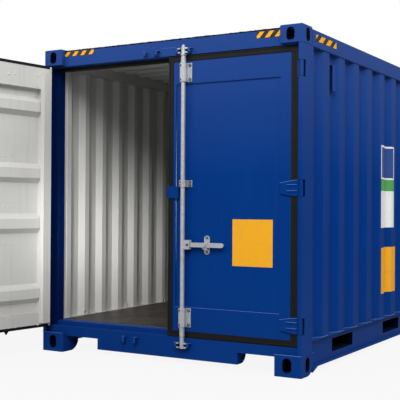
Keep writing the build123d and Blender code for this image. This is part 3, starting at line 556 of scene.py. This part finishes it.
# %% Turned, cut and drawn shapes
def turned(shape, profile, at, axis, steps, spin=0.0):
    """Turn a profile of (radius, height) points about an axis that starts at a point."""
    axis = Vector(axis).normalized()
    aim = axis.to_track_quat("Z", "Y").to_matrix().to_4x4()
    place = Matrix.Translation(Vector(at)) @ aim
    rings = []
    for radius, height in profile:
        ring = []
        for i in range(steps):
            turn = 2 * math.pi * i / steps + spin
            corner = Vector((radius * math.cos(turn), radius * math.sin(turn), height))
            ring.append(shape.verts.new(place @ corner))
        rings.append(ring)
    for low, high in zip(rings, rings[1:]):
        for i in range(steps):
            shape.faces.new((low[i], low[(i + 1) % steps], high[(i + 1) % steps], high[i]))
    shape.faces.new(list(reversed(rings[0])))
    shape.faces.new(rings[-1])


def prism(shape, outline, lift):
    """A thin flat piece: a closed outline of points, made thick along lift."""
    base = [shape.verts.new(Vector(p)) for p in outline]
    top = [shape.verts.new(Vector(p) + Vector(lift)) for p in outline]
    count = len(outline)
    shape.faces.new(base)
    shape.faces.new(list(reversed(top)))
    for i in range(count):
        shape.faces.new((base[i], top[i], top[(i + 1) % count], base[(i + 1) % count]))


def tube(shape, points, radius, closed=False, sides=6, wobble=0.0, seed=1):
    """A round bar along a line of points. Wobble makes its size uneven, like a weld."""
    dice = random.Random(seed)
    points = [Vector(p) for p in points]
    count = len(points)
    rings = []
    for i, point in enumerate(points):
        before = points[i - 1] if i or closed else point
        after = points[(i + 1) % count] if i < count - 1 or closed else point
        run = (after - before).normalized()
        side = run.cross(Vector((0.31, 0.27, 0.91))).normalized()
        up = run.cross(side).normalized()
        r = radius * (1 + wobble * (dice.random() - 0.5))
        ring = []
        for k in range(sides):
            turn = 2 * math.pi * k / sides
            ring.append(shape.verts.new(point + side * r * math.cos(turn) + up * r * math.sin(turn)))
        rings.append(ring)
    pairs = list(zip(rings, rings[1:])) + ([(rings[-1], rings[0])] if closed else [])
    for a, b in pairs:
        for k in range(sides):
            shape.faces.new((a[k], a[(k + 1) % sides], b[(k + 1) % sides], b[k]))
    if not closed:
        shape.faces.new(list(reversed(rings[0])))
        shape.faces.new(rings[-1])


def stepped(start, end, pitch):
    """Points from start to end, no more than pitch apart."""
    start, end = Vector(start), Vector(end)
    steps = max(1, math.ceil((end - start).length / pitch))
    return [start.lerp(end, i / steps) for i in range(steps + 1)]


print("a 100 mm bar in 9 mm steps has", len(stepped((0, 0, 0), (100, 0, 0), 9)), "points")

# %% [markdown]
# ## Planes and lines of the drawing
# A maker's drawing names the planes that many pieces share. These are all in
# millimetres with both doors shut: the front looks to -y, and heights are z.

# %% Planes and lines
half_width = 1219  # x of the container's outer sides
face_y = -1443.5  # front of the header and the sill
boss_y = -1443.5  # front of the doors' raised seats for the brackets
panel_y = -1433.5  # front of the doors' sheets
seal_y = -1445.5  # front of the door seals
back_y = -1379.5  # back of the doors' frames
leaf_low, leaf_high = 217.0, 2442.0  # foot and head of both doors
inner_low, inner_high = 349, 2236  # the part of a sheet that shows inside its frame
middle_line, rod_line = 28.5, 156.0  # x between the doors, and a rod's distance from it
rod_y, handle_z = -1470.0, 948.0
strap_front = rod_y - 23.0  # front of the straps that hold the rods
hinge_line = 1206  # x of the hinge pins, on both sides
free_x = {"left": 23.5, "right": 33.5}  # edges of the doors in the middle
hinge_x = {"left": -1178, "right": 1178}  # and at the hinges
print("doors are", leaf_high - leaf_low, "mm high and", hinge_x["right"] - free_x["right"], "mm wide")

# %% [markdown]
# ## Bolts
# The lock gear is bolted through the doors with hexagon and dome heads, so that
# a rod can be changed without welding. A plain cylinder would do for a head far
# away, but here the washer and the flats still catch light, so each head is a
# turned profile: a washer, then six flats or a dome.


# %% Bolt heads
def hex_head(shape, at, axis, across, spin=0.2):
    washer = [(across * 0.75, 0), (across * 0.75, 1.6), (across * 0.62, 1.6)]
    # The corners of a hexagon are 0.577 of its width across flats from the middle
    flats = [(across * 0.577, 1.2), (across * 0.577, 8.2), (across * 0.46, 9.4)]
    turned(shape, washer, at, axis, steps=16)
    turned(shape, flats, at, axis, steps=6, spin=spin)


def dome_head(shape, at, axis, width):
    half = width / 2
    dome = [(half, 0), (half * 0.98, 1.5), (half * 0.8, 4.2), (half * 0.45, 5.8), (half * 0.1, 6.2)]
    turned(shape, dome, at, axis, steps=14)


def on_door(sign, beyond_rod):
    """X of a place on a shut door, left at sign -1, measured from its rod to its hinges."""
    return middle_line + sign * (rod_line + beyond_rod)


# Brackets: height, half the bolts' spacing, and the face that each sits on
brackets = ((372, 56, boss_y), (1428, 14, panel_y), (2306, 56, boss_y))
# How far beyond the rod the bolts sit: bracket foot, strap, handle's catch and fork pin
foot_out, strap_out, catch_out, fork_out = 48, -15, 205, 52
front = (0, -1, 0)


def bracket_bolts(shape, sign):
    for z, half, seat in brackets:
        for dz in (-half, half):
            hex_head(shape, (on_door(sign, foot_out), seat - 7, z + dz), front, across=19, spin=dz)
            hex_head(shape, (on_door(sign, strap_out), strap_front + 1, z + dz), front,
                     across=13, spin=dz)
    for dz in (-57, 57):
        hex_head(shape, (on_door(sign, catch_out), panel_y - 6, handle_z + dz), front, across=15)
    hex_head(shape, (on_door(sign, fork_out), rod_y - 17, handle_z), front, across=15)


def right_door_bolts(shape):
    bracket_bolts(shape, 1)
    dome_head(shape, (340, -1437.0, 2295), front, width=22)


make_piece("right_bracket_bolts", right_door_bolts, shaded_dull_zinc, "right_door")
make_piece("left_bracket_bolts", lambda s: bracket_bolts(s, -1), shaded_dull_zinc, "left_door",
           swung=True)

# %% [markdown]
# On the inside the bolts end in nuts that were painted over with the door, so
# plain domes are enough. Between the frame's rails they sit on the sheet, and
# elsewhere on the frame. The lowest ones meet the lip of the sill when the door
# is shut, so they are sunk.

# %% Nuts inside the doors
# Distance from the hinge line, and height
nuts = ((509, 2322), (438, 2331), (508, 2243), (436, 2243), (196, 2344), (196, 2258), (503, 1653),
        (431, 1657), (499, 1236), (424, 1236), (496, 935), (421, 933), (486, 325), (419, 319),
        (485, 248), (418, 244), (177, 325), (176, 240))
sunk_below, sunk_by = 262, 2.4


def door_nuts(shape, sign):
    for out, z in nuts:
        seat = panel_y + 4 if inner_low < z < inner_high else back_y
        if z < sunk_below:
            seat -= sunk_by
        dome_head(shape, (sign * (hinge_line - out), seat, z), (0, 1, 0), width=15)


make_piece("left_door_nuts", lambda s: door_nuts(s, -1), cargo_grey, "left_door",
           swung=True)
make_piece("right_door_nuts", lambda s: door_nuts(s, 1), cargo_grey, "right_door")

# %% [markdown]
# ## The lips of the door seals
# A door seal has soft lips: one stands proud of the door's face and shines as a
# thin line, and one sweeps the frame behind. A curve with a bevel could draw
# them. A mesh bar does the same and needs no conversion: each lip is bent round
# the door's edge, with round corners as the real strip has.


# %% Seal lips
def round_frame(low, high, y, corner, pitch=60):
    """Points round a rectangle with round corners, in the plane at depth y."""
    (x0, z0), (x1, z1) = low, high
    centres = ((x1 - corner, z1 - corner, 0), (x0 + corner, z1 - corner, 90),
               (x0 + corner, z0 + corner, 180), (x1 - corner, z0 + corner, 270))
    points = []
    for cx, cz, start in centres:
        for step in range(5):
            turn = math.radians(start + 22.5 * step)
            points.append(Vector((cx + corner * math.cos(turn), y, cz + corner * math.sin(turn))))
    dense = []
    for a, b in zip(points, points[1:] + points[:1]):
        dense += stepped(a, b, pitch)[:-1]
    return dense


# Each lip: its distance from the door's edge, and its radius
lips = ((9, 3.4), (42, 2.2))


def seal_lips(shape, side):
    x0, x1 = sorted((free_x[side], hinge_x[side]))
    for inset, radius in lips:
        line = round_frame((x0 + inset, leaf_low + inset), (x1 - inset, leaf_high - inset), seal_y, 14)
        tube(shape, line, radius, closed=True, sides=8)


for side in ("left", "right"):
    make_piece(f"{side}_seal_lips", lambda s, k=side: seal_lips(s, k), rubber,
               f"{side}_door", smooth=True, swung=side == "left")

# %% [markdown]
# Inside, the strip laps over the back of the door along its top, its foot and its
# free edge, and ends under the stile by the hinges. The stile is a box of folded
# plate that stands out behind the rest of the door: its outline, seen from above,
# is drawn up the door.


# %% Back of the doors
def border(shape, low, high, wide, y, deep):
    """Three flat strips round a door's back: free edge, foot and head."""
    (x0, z0), (x1, z1) = low, high
    inner = x0 + math.copysign(wide, x1 - x0)
    strips = (((x0, z0), (inner, z1)), ((inner, z0), (x1, z0 + wide)), ((inner, z1 - wide), (x1, z1)))
    for a, b in strips:
        outline = [(a[0], y, a[1]), (b[0], y, a[1]), (b[0], y, b[1]), (a[0], y, b[1])]
        prism(shape, outline, (0, deep, 0))


def stile_box(shape, sign):
    """Folded box on the hinge stile, 36 mm deep with sloping flanks."""
    inner, outer, deep, slope = 1050, 1144, 36, 6
    low, high = 256, 2372
    outline = [(sign * inner, back_y - 1, low), (sign * (inner + slope), back_y + deep, low),
               (sign * (outer - slope), back_y + deep, low), (sign * outer, back_y - 1, low)]
    prism(shape, outline, (0, 0, high - low))


def drip_nub(shape):
    """A worn tab of rubber that hangs from the foot of the left door."""
    x, y = -706, back_y - 20
    outline = [(x - 22, y, leaf_low + 2), (x + 20, y, leaf_low + 2), (x + 3, y, leaf_low - 26)]
    prism(shape, outline, (0, 10, 0))


for side, sign in (("left", -1), ("right", 1)):
    ends = ((free_x[side], leaf_low + 2), (hinge_x[side] - sign * 30, leaf_high - 2))
    make_piece(f"{side}_seal_back", lambda s, e=ends: border(s, *e, 24, back_y - 12, 13.5), rubber,
               f"{side}_door", swung=side == "left")
    make_piece(f"{side}_hinge_stile", lambda s, k=sign: stile_box(s, k), cargo_grey,
               f"{side}_door", swung=side == "left")
make_piece("left_seal_nub", drip_nub, rubber, "left_door", swung=True)

# %% [markdown]
# ## Warning stripes
# The header and the top rail carry slanted yellow bars on black, which mark the
# upper corners. They could be a pattern in a material, but real film has an edge
# that casts a hairline of shadow. So the bars are cut from an outline and laid on
# the black film, both thicker than real so that the edge shows.


# %% Stripes
def clipped(outline, start, end):
    """Corners (u, v) of an outline, cut off where u is under start or over end."""
    for limit, keep in ((start, 1), (end, -1)):
        kept = []
        for (u0, v0), (u1, v1) in zip(outline, outline[1:] + outline[:1]):
            inside = keep * (u0 - limit) >= 0
            if inside:
                kept.append((u0, v0))
            if inside != (keep * (u1 - limit) >= 0):
                kept.append((limit, v0 + (v1 - v0) * (limit - u0) / (u1 - u0)))
        outline = kept
    return outline


def striped_panel(place, lift, ground, low, high, start, end, first, bar, pitch, slant):
    """Black ground or its bars: place(u, v) gives a corner, lift the film's thickness."""
    def film(shape):
        if ground:
            bars = [[(start, low), (end, low), (end, high), (start, high)]]
        else:
            starts = [first + pitch * i for i in range(math.ceil((end - first) / pitch))]
            slanted = [[(u, low), (u + bar, low), (u + bar + slant, high), (u + slant, high)]
                       for u in starts]
            bars = [clipped(corners, start, end) for corners in slanted]
        for corners in bars:
            if len(corners) > 2:
                prism(shape, [place(u, v) for u, v in corners], lift)
    return film


def on_header(u, v, out=0.0):
    return (u, face_y - out, v)


def on_rail(u, v, out=0.0):
    return (half_width + out, u, v)


# Each panel: its height from and to, its ends, and its bars' first place, width, pitch and slant
panels = {
    "header_left_stripe": (on_header, (0, -1, 0), (2533, 2570), (-1033, -722), (-1042, 39, 87, 32)),
    "header_right_stripe": (on_header, (0, -1, 0), (2521, 2568), (816, 1033), (803, 38, 82, 42)),
    "rail_stripe": (on_rail, (1, 0, 0), (2498, 2546), (-1253, -846), (-1345, 76, 142, 60)),
}
ground_film, bar_film = 0.8, 0.5
black_border, end_border = 3, 2
for name, (place, outward, (low, high), (start, end), bars) in panels.items():
    lift = Vector(outward)
    ground = striped_panel(place, lift * ground_film, True, low - black_border, high + black_border,
                           start, end, *bars)
    yellow = striped_panel(lambda u, v, at=place: at(u, v, ground_film), lift * bar_film, False,
                           low, high, start + end_border, end - end_border, *bars)
    make_piece(f"{name}_ground", ground, black_vinyl, "container")
    make_piece(f"{name}_bars", yellow, yellow_vinyl, "container")

# %% [markdown]
# ## The plate on the right door
# A caution plate is a sheet of film on the flat of the door. Its face is kept
# bare, so a plain plate 1 mm thick is all it takes.

# %% Plate on the right door
(plate_x0, plate_z0), (plate_x1, plate_z1) = (613, 794), (955, 1152)


def flat_plate(shape):
    outline = [(plate_x0, panel_y, plate_z0), (plate_x1, panel_y, plate_z0),
               (plate_x1, panel_y, plate_z1), (plate_x0, panel_y, plate_z1)]
    prism(shape, outline, (0, -1.0, 0))


make_piece("door_plate", flat_plate, yellow_vinyl, "right_door")

# %% [markdown]
# ## Film that follows the corrugated wall
# A sticker on corrugated steel is pressed into every fold. A shrinkwrap could
# lay it there, but the folds are known, so the film is cut at each of them and
# laid just over the outer face.

# %% Wall stickers
wall_high, wall_depth, wall_thick = 1211.0, 38.0, 4.0
wall_end, wall_slope, wall_land = 1297.0, 55.0, 6.0
# Waves along each side wall, and the width of a wave's flat crest
wall_waves = {"left": (10, 90.0), "right": (8, 115.0)}


def wall_folds(side):
    """Places where a side wall folds, as pairs of y and outer x."""
    waves, crest = wall_waves[side]
    pitch = (2 * wall_end - wall_land) / waves
    folds = [(-wall_end, wall_high)]
    for wave in range(waves):
        at = wall_land - wall_end + wave * pitch
        folds += [(at, wall_high), (at + wall_slope, wall_high - wall_depth),
                  (at + pitch - crest - wall_slope, wall_high - wall_depth),
                  (at + pitch - crest, wall_high)]
    folds.append((wall_end, wall_high))
    return folds


def wall_x(y):
    """Outer face of the right wall at y."""
    folds = wall_folds("right")
    for (y0, x0), (y1, x1) in zip(folds, folds[1:]):
        if y0 <= y <= y1:
            return x0 + (x1 - x0) * (y - y0) / max(y1 - y0, 1e-6)
    return wall_high


def wall_film(shape, y0, y1, z0, z1, lift=1.2):
    cuts = sorted([y0, y1] + [y for y, _ in wall_folds("right") if y0 < y < y1])
    for a, b in zip(cuts, cuts[1:]):
        outline = [(wall_x(a), a, z0), (wall_x(b), b, z0), (wall_x(b), b, z1), (wall_x(a), a, z1)]
        prism(shape, outline, (lift, 0, 0))


# The coloured fields lie over the white ground of the sticker
field_lift = 1.8
make_piece("wall_plate", lambda s: wall_film(s, 257, 640, 474, 886), yellow_vinyl, "container")
make_piece("wall_sticker_ground", lambda s: wall_film(s, 250, 600, 1066, 1810), white_vinyl, "container")
make_piece("wall_sticker_field", lambda s: wall_film(s, 266, 584, 1520, 1794, field_lift), blue_vinyl,
           "container")
make_piece("wall_sticker_band", lambda s: wall_film(s, 250, 600, 1400, 1505, field_lift), green_vinyl,
           "container")

# %% [markdown]
# ## Weld beads
# Posts, castings, rails and walls are welded, and every seam is a low bead that
# rises and falls as the welder moved. A bead here is a bar of uneven size that
# lies half in the corner, painted over like the rest. The beads along the foot
# of the walls are in a paler blue, as a painted highlight.


# %% Beads
def post_beads(shape):
    """Seams where the door posts stand on and under their castings."""
    casting_joints = (160, 2457)
    for sx in (-1, 1):
        for z in casting_joints:
            x0, x1 = sx * 1184, sx * half_width
            corners = [(x0, -1493, z), (x1 - sx * 2, -1493, z), (x1, -1491, z), (x1, -1297, z)]
            points = []
            for a, b in zip(corners, corners[1:]):
                points += stepped(a, b, 9)[:-1]
            tube(shape, points + [Vector(corners[-1])], 3.0, wobble=0.5, seed=int(z) + sx)


def wall_bead(shape, z):
    """Seam along both side walls at height z, round every fold."""
    for side, sx in (("left", -1), ("right", 1)):
        folds = wall_folds(side)
        points = []
        for (y0, x0), (y1, x1) in zip(folds, folds[1:]):
            points += stepped((sx * x0, y0, z), (sx * x1, y1, z), 12)[:-1]
        tube(shape, points, 2.6, wobble=0.5, seed=z)


def rear_corner_beads(shape):
    """Upright seams between the walls and the rear posts, painted from outside."""
    y, low, high = 1298.5, 262, 2440
    for sx in (-1, 1):
        x = sx * 1214.6
        tube(shape, stepped((x, y, low), (x, y, high), 14), 4.6, wobble=0.5, seed=5)


make_piece("post_weld_beads", post_beads, marine_blue, "container", smooth=True)
make_piece("wall_top_beads", lambda s: wall_bead(s, 2446), marine_blue, "container",
           smooth=True)
# The foot beads take the paler blue: a painted highlight along the bottom rails
make_piece("wall_foot_beads", lambda s: wall_bead(s, 255), highlight_blue, "container",
           smooth=True)
make_piece("rear_corner_beads", rear_corner_beads, marine_blue, "container", smooth=True)

# %% [markdown]
# ## Blue strips where one face needs two paints
# A CAD face takes one finish, but the inner face of a top rail is pale under the
# roof and blue above it, where the sheet stops short of the rail's top. A thin
# strip of painted plate covers the blue part: its lower edge follows the roof's
# own waves, which are read from the CAD mesh. The rear ends of the bottom rails
# are closed by small plates in the same way.


# %% Strips above the roof and plates at the rails' ends
def roof_edge_strips(shape):
    inner, top, film = 1158.2, 2573.0, 0.8
    rail_start, rail_stop, roof_edge = -1300, 1313, 1.158
    crest = {}
    for corner in nodes["roof_panel"].data.vertices:
        if corner.co.x > roof_edge:
            y = round(1000 * corner.co.y, 1)
            crest[y] = max(crest.get(y, 0), 1000 * corner.co.z)
    line = [(y, z - 1.5) for y, z in sorted(crest.items())]
    outline = clipped(line + [(line[-1][0], top), (line[0][0], top)], rail_start, rail_stop)
    for sx in (-1, 1):
        prism(shape, [(sx * inner, y, z) for y, z in outline], (sx * film, 0, 0))
    # The rear header stands above the roof too
    x, y, low, high = 1032, 1433 - film, 2554.5, 2583
    prism(shape, [(-x, y, low), (x, y, low), (x, y, high), (-x, y, high)], (0, film, 0))


def rail_end_plates(shape):
    y, low, high = 1295.9, 160.5, 244.5
    for sx in (-1, 1):
        x0, x1 = sx * 1186.5, sx * 1218
        prism(shape, [(x0, y, low), (x1, y, low), (x1, y, high), (x0, y, high)], (0, 1.1, 0))


make_piece("roof_edge_strips", roof_edge_strips, marine_blue, "container")
make_piece("rail_end_plates", rail_end_plates, marine_blue, "container")

# %% [markdown]
# ## Painted shade on the header, and flaps
# A dark, uneven bar of rubber lies along the top edge of the header as painted
# shade, so its line is thick and thin. A second flap of rubber closes the gap on
# the hinge side of each door: it is a plain extruded strip, drawn from foot to head.


# %% Painted shade on the header, and flaps
def header_shade_strip(shape):
    x, y, z = 1031, face_y - 0.5, 2580
    tube(shape, stepped((-x, y, z), (x, y, z), 12), 4.5, wobble=0.7, seed=7)


def hinge_side_flap(shape, sign):
    x0, x1 = sorted((sign * 1106, sign * 1136))
    flap_back, flap_front = -1437, -1444.5
    outline = [(x0, flap_back, leaf_low), (x1, flap_back, leaf_low),
               (x1, flap_front, leaf_low), (x0, flap_front, leaf_low)]
    prism(shape, outline, (0, 0, leaf_high - leaf_low))


# A dark bar along the header's top edge: painted shade
make_piece("header_top_painted_shade", header_shade_strip, rubber, "container", smooth=True)
make_piece("right_hinge_flap", lambda s: hinge_side_flap(s, 1), rubber, "right_door")
make_piece("left_hinge_flap", lambda s: hinge_side_flap(s, -1), rubber, "left_door",
           swung=True)

# %% [markdown]
# ## Sleeves of the rods
# A rod has a collar under its top cam, and wider tubes guide it into its upper
# and lower brackets. All are round and turn with the rod, so each is a turned
# profile with a small chamfer at both ends that rides on the rod's body.

# %% Rod sleeves
rod_radius, sleeve_radius, collar_radius = 18, 20.5, 24.5


def rod_sleeve(shape, sign):
    x = on_door(sign, 0)
    collar = [(rod_radius, 0), (collar_radius, 1.5), (collar_radius, 9), (rod_radius, 10.5)]
    turned(shape, collar, (x, rod_y, 2440), (0, 0, 1), steps=28)
    # Upper and lower guide: where each starts, and its length
    for z, length in ((2384, 46), (222, 72)):
        guide = [(rod_radius, 0), (sleeve_radius, 2), (sleeve_radius, length - 2), (rod_radius, length)]
        turned(shape, guide, (x, rod_y, z), (0, 0, 1), steps=28)


make_piece("right_rod_sleeve", lambda s: rod_sleeve(s, 1), zinc, "right_rod",
           smooth=True)
make_piece("left_rod_sleeve", lambda s: rod_sleeve(s, -1), zinc, "left_rod",
           smooth=True, swung=True)

# %% [markdown]
# ## Painted highlights on edges
# Some edges show as pale lines where they catch the light: the keepers, the
# strip between them, the ribs of the hinges, the tops of the castings and the lip
# of the sill. The Bevel node finds edges too, but its 2.5 mm stay faint at this
# distance. A slim, uneven bar of paler paint along each edge is a painted
# highlight that shows at this size.


# %% Lines along the edges
def paint_highlight_lines(shape, lines, radius):
    for line in lines:
        points = []
        for a, b in zip(line, line[1:]):
            points += stepped(a, b, 10)[:-1]
        tube(shape, points + [Vector(line[-1])], radius, wobble=0.4, seed=int(line[0][2]))


def keeper_edges(x, z, half):
    """Front edges and upper edges of the two ears of a keeper."""
    ear_inner, ear_middle, ear_outer = 48, 55, 70
    lines = []
    for sign in (-1, 1):
        inner, middle, outer = x + sign * ear_inner, x + sign * ear_middle, x + sign * ear_outer
        lines.append([(inner, face_y - 32, z + half), (outer, face_y - 32, z + half),
                      (outer, face_y - 2, z + half)])
        lines.append([(middle, face_y - 40, z + half - 14), (middle, face_y - 40, z - half + 9)])
    return lines


def hinge_edges(sign):
    """Upper edges of the two long hinges and of their ribs, which get painted highlights."""
    lines = []
    blade_y, rib_y = -1457.5, -1463.0
    for z in (374, 1387):
        lines.append([(sign * 1024, blade_y, z + 39), (sign * 1132, blade_y, z + 58),
                      (sign * 1168, blade_y, z + 58)])
        for up in (26, -18):
            lines.append([(sign * 1079, rib_y, z + up), (sign * 1166, rib_y, z + up)])
    return lines


left_rod_x, right_rod_x, sill_keeper_x = on_door(-1, 0), on_door(1, 0), -321.5
header_keeper_z, sill_keeper_z, strip_top = 2479, 154, 2515
header_edges = [line for x in (left_rod_x, right_rod_x) for line in keeper_edges(x, header_keeper_z, 19)]
header_edges.append([(-50, face_y - 6, strip_top), (107, face_y - 6, strip_top)])
sill_edges = keeper_edges(right_rod_x, sill_keeper_z, 19)
sill_edges += keeper_edges(sill_keeper_x, sill_keeper_z, 26.5)
frame_edges = [[(sx * 999, -1495, 160), (sx * 1218, -1495, 160), (sx * 1218, -1275, 160)]
               for sx in (-1, 1)]
frame_edges.append([(-1144, -1299, 250.5), (1144, -1299, 250.5)])
rail_line = [[(88, -1438, 452), (1012, -1438, 452)]]

# The pale bars along these edges are painted highlights
make_piece("header_painted_highlights", lambda s: paint_highlight_lines(s, header_edges, 1.8), highlight_blue, "container",
           smooth=True)
for side, sign in (("left", -1), ("right", 1)):
    make_piece(f"{side}_hinge_painted_highlights", lambda s, k=sign: paint_highlight_lines(s, hinge_edges(k), 1.8),
               highlight_blue, f"{side}_door", smooth=True, swung=side == "left")
make_piece("frame_painted_highlights", lambda s: paint_highlight_lines(s, frame_edges, 2.2), highlight_blue, "container",
           smooth=True)
make_piece("right_rail_painted_highlight", lambda s: paint_highlight_lines(s, rail_line, 2.2), highlight_blue, "right_door",
           smooth=True)
make_piece("sill_painted_highlights", lambda s: paint_highlight_lines(s, sill_edges, 1.8), highlight_blue, "container",
           smooth=True)

# %% [markdown]
# ## Grey joints along the side walls
# Inside, the gaps between each corrugated wall and its rails are filled and
# painted with the walls. The filler is a flat strip whose outer edge follows the
# folds of the wall: one lies on the bottom rail and one under the top rail. A
# boolean cut against the wall could shape it, but the folds are already known.

# %% Filler strips
# Each strip: its height, its thickness up or down, and the x of its inner edge
fillers = ((254.0, 1.5, 1149.5), (2447.0, -1.5, 1158.5))


def filler_strips(shape):
    skin = wall_thick + 0.5
    for side, sx in (("left", -1), ("right", 1)):
        folds = wall_folds(side)
        for z, lift, edge in fillers:
            for (y0, x0), (y1, x1) in zip(folds, folds[1:]):
                outline = [(sx * edge, y0, z), (sx * edge, y1, z),
                           (sx * (x1 - skin), y1, z), (sx * (x0 - skin), y0, z)]
                if y1 - y0 > 1:
                    prism(shape, outline, (0, 0, lift))


make_piece("wall_filler_strips", filler_strips, cargo_grey, "container")

# %% [markdown]
# ## The floor and the room
# The container stands on a plain pale floor. Its shadow stays, but what the
# camera sees of the floor is mostly white light, so that it fades into the white
# behind. A shadow catcher would need compositing, and this does not. The light is
# given to camera rays alone and never reaches the object as lamp light. The room
# above is paler than the floor, as an open sky would be.


# %% Floor and world
def pale_floor():
    material, tree, place = new_material("pale_studio_floor")
    rays = add(tree, "ShaderNodeLightPath")
    share = add(tree, "ShaderNodeMath", {0: rays.outputs["Is Camera Ray"], 1: 0.9}, operation="MULTIPLY")
    card = add(tree, "ShaderNodeBsdfDiffuse", {"Color": linear("#9c9c9a")})
    glow = add(tree, "ShaderNodeEmission", {"Color": (1, 1, 1, 1), "Strength": 1.0})
    both = add(tree, "ShaderNodeMixShader",
               {0: share.outputs[0], 1: card.outputs[0], 2: glow.outputs[0]})
    add(tree, "ShaderNodeOutputMaterial", {"Surface": both.outputs[0]})
    shape = bmesh.new()
    reach = 60
    for x, y in ((-reach, -reach), (reach, -reach), (reach, reach), (-reach, reach)):
        shape.verts.new((x, y, 0))
    shape.faces.new(shape.verts)
    mesh = bpy.data.meshes.new("studio_floor")
    shape.to_mesh(mesh)
    shape.free()
    mesh.materials.append(material)
    floor = bpy.data.objects.new("studio_floor", mesh)
    bpy.context.scene.collection.objects.link(floor)
    return floor


floor = pale_floor()

world = bpy.data.worlds.new("white_room")
bpy.context.scene.world = world
world.use_nodes = True
tree = world.node_tree
tree.nodes.clear()
rays = add(tree, "ShaderNodeLightPath")
room = add(tree, "ShaderNodeBackground", {"Color": linear("#f4f7fb"), "Strength": 0.4})
backdrop = add(tree, "ShaderNodeBackground", {"Color": (1, 1, 1, 1), "Strength": 1.0})
both = add(tree, "ShaderNodeMixShader",
           {0: rays.outputs["Is Camera Ray"], 1: room.outputs[0], 2: backdrop.outputs[0]})
add(tree, "ShaderNodeOutputWorld", {"Surface": both.outputs[0]})
print("world:", world.name, "floor reaches", max(floor.dimensions) / 2, "m each way")

# %% [markdown]
# ## Lamps
# The photo was taken under a bright, even sky. A wide soft lamp high in front
# stands for the brightest part of it, a weaker one fills from the left, and one
# at the side lifts the right wall. Daylight also reaches a little way through
# the open doorway, which wide lamps cannot do alone: a small lamp with a narrow
# beam, as weak as a torch, looks through it at the left wall.


# %% Lamps
def soft_lamp(name, at, aim, size, power):
    light = bpy.data.lights.new(name, "AREA")
    light.shape = "DISK"
    light.size = size
    light.energy = power
    lamp = bpy.data.objects.new(name, light)
    lamp.location = at
    lamp.rotation_euler = (Vector(aim) - Vector(at)).to_track_quat("-Z", "Y").to_euler()
    bpy.context.scene.collection.objects.link(lamp)
    return lamp


middle = (0, 0, 1.2)
doorway = soft_lamp("doorway_lamp", (2.2, -8.8, 2.0), (-1.15, -1.1, 1.0), 0.8, 1.7)
doorway.data.spread = math.radians(9)
soft_lamp("key_lamp", (4.0, -9.0, 9.0), middle, 8.0, 1150)
soft_lamp("fill_lamp", (-7.0, -8.0, 7.0), middle, 5.0, 300)
soft_lamp("side_lamp", (9.0, 1.0, 8.0), middle, 5.0, 480)

# %% [markdown]
# ## The camera
# The camera stands where the photo was taken from: right of the doors, 1.2 m
# above the ground, with a short telephoto lens. A constraint that aims at a
# point could not give its slight roll, so its three axes are worked out from the
# turn, the tilt and the roll, and become the columns of its matrix.

# %% Camera
turn, tilt, roll = (math.radians(a) for a in (30.67, 0.45, 0.33))
ahead = Vector((-math.sin(turn), math.cos(turn), 0))
right = Vector((math.cos(turn), math.sin(turn), 0))
up = Vector((0, 0, 1))
ahead, up = math.cos(tilt) * ahead + math.sin(tilt) * up, math.cos(tilt) * up - math.sin(tilt) * ahead
right, up = math.cos(roll) * right + math.sin(roll) * up, math.cos(roll) * up - math.sin(roll) * right
lens = bpy.data.cameras.new("photo_camera")
lens.lens = 79.5
lens.sensor_width = 36
lens.clip_end = 200
camera = bpy.data.objects.new("photo_camera", lens)
stand = Matrix.Translation((3.855, -7.392, 1.245))
camera.matrix_world = stand @ Matrix((right, up, -ahead)).transposed().to_4x4()
bpy.context.scene.collection.objects.link(camera)
bpy.context.scene.camera = camera
bpy.context.scene.view_settings.view_transform = "Standard"
print("camera at", [round(v, 3) for v in camera.location], "lens", lens.lens)
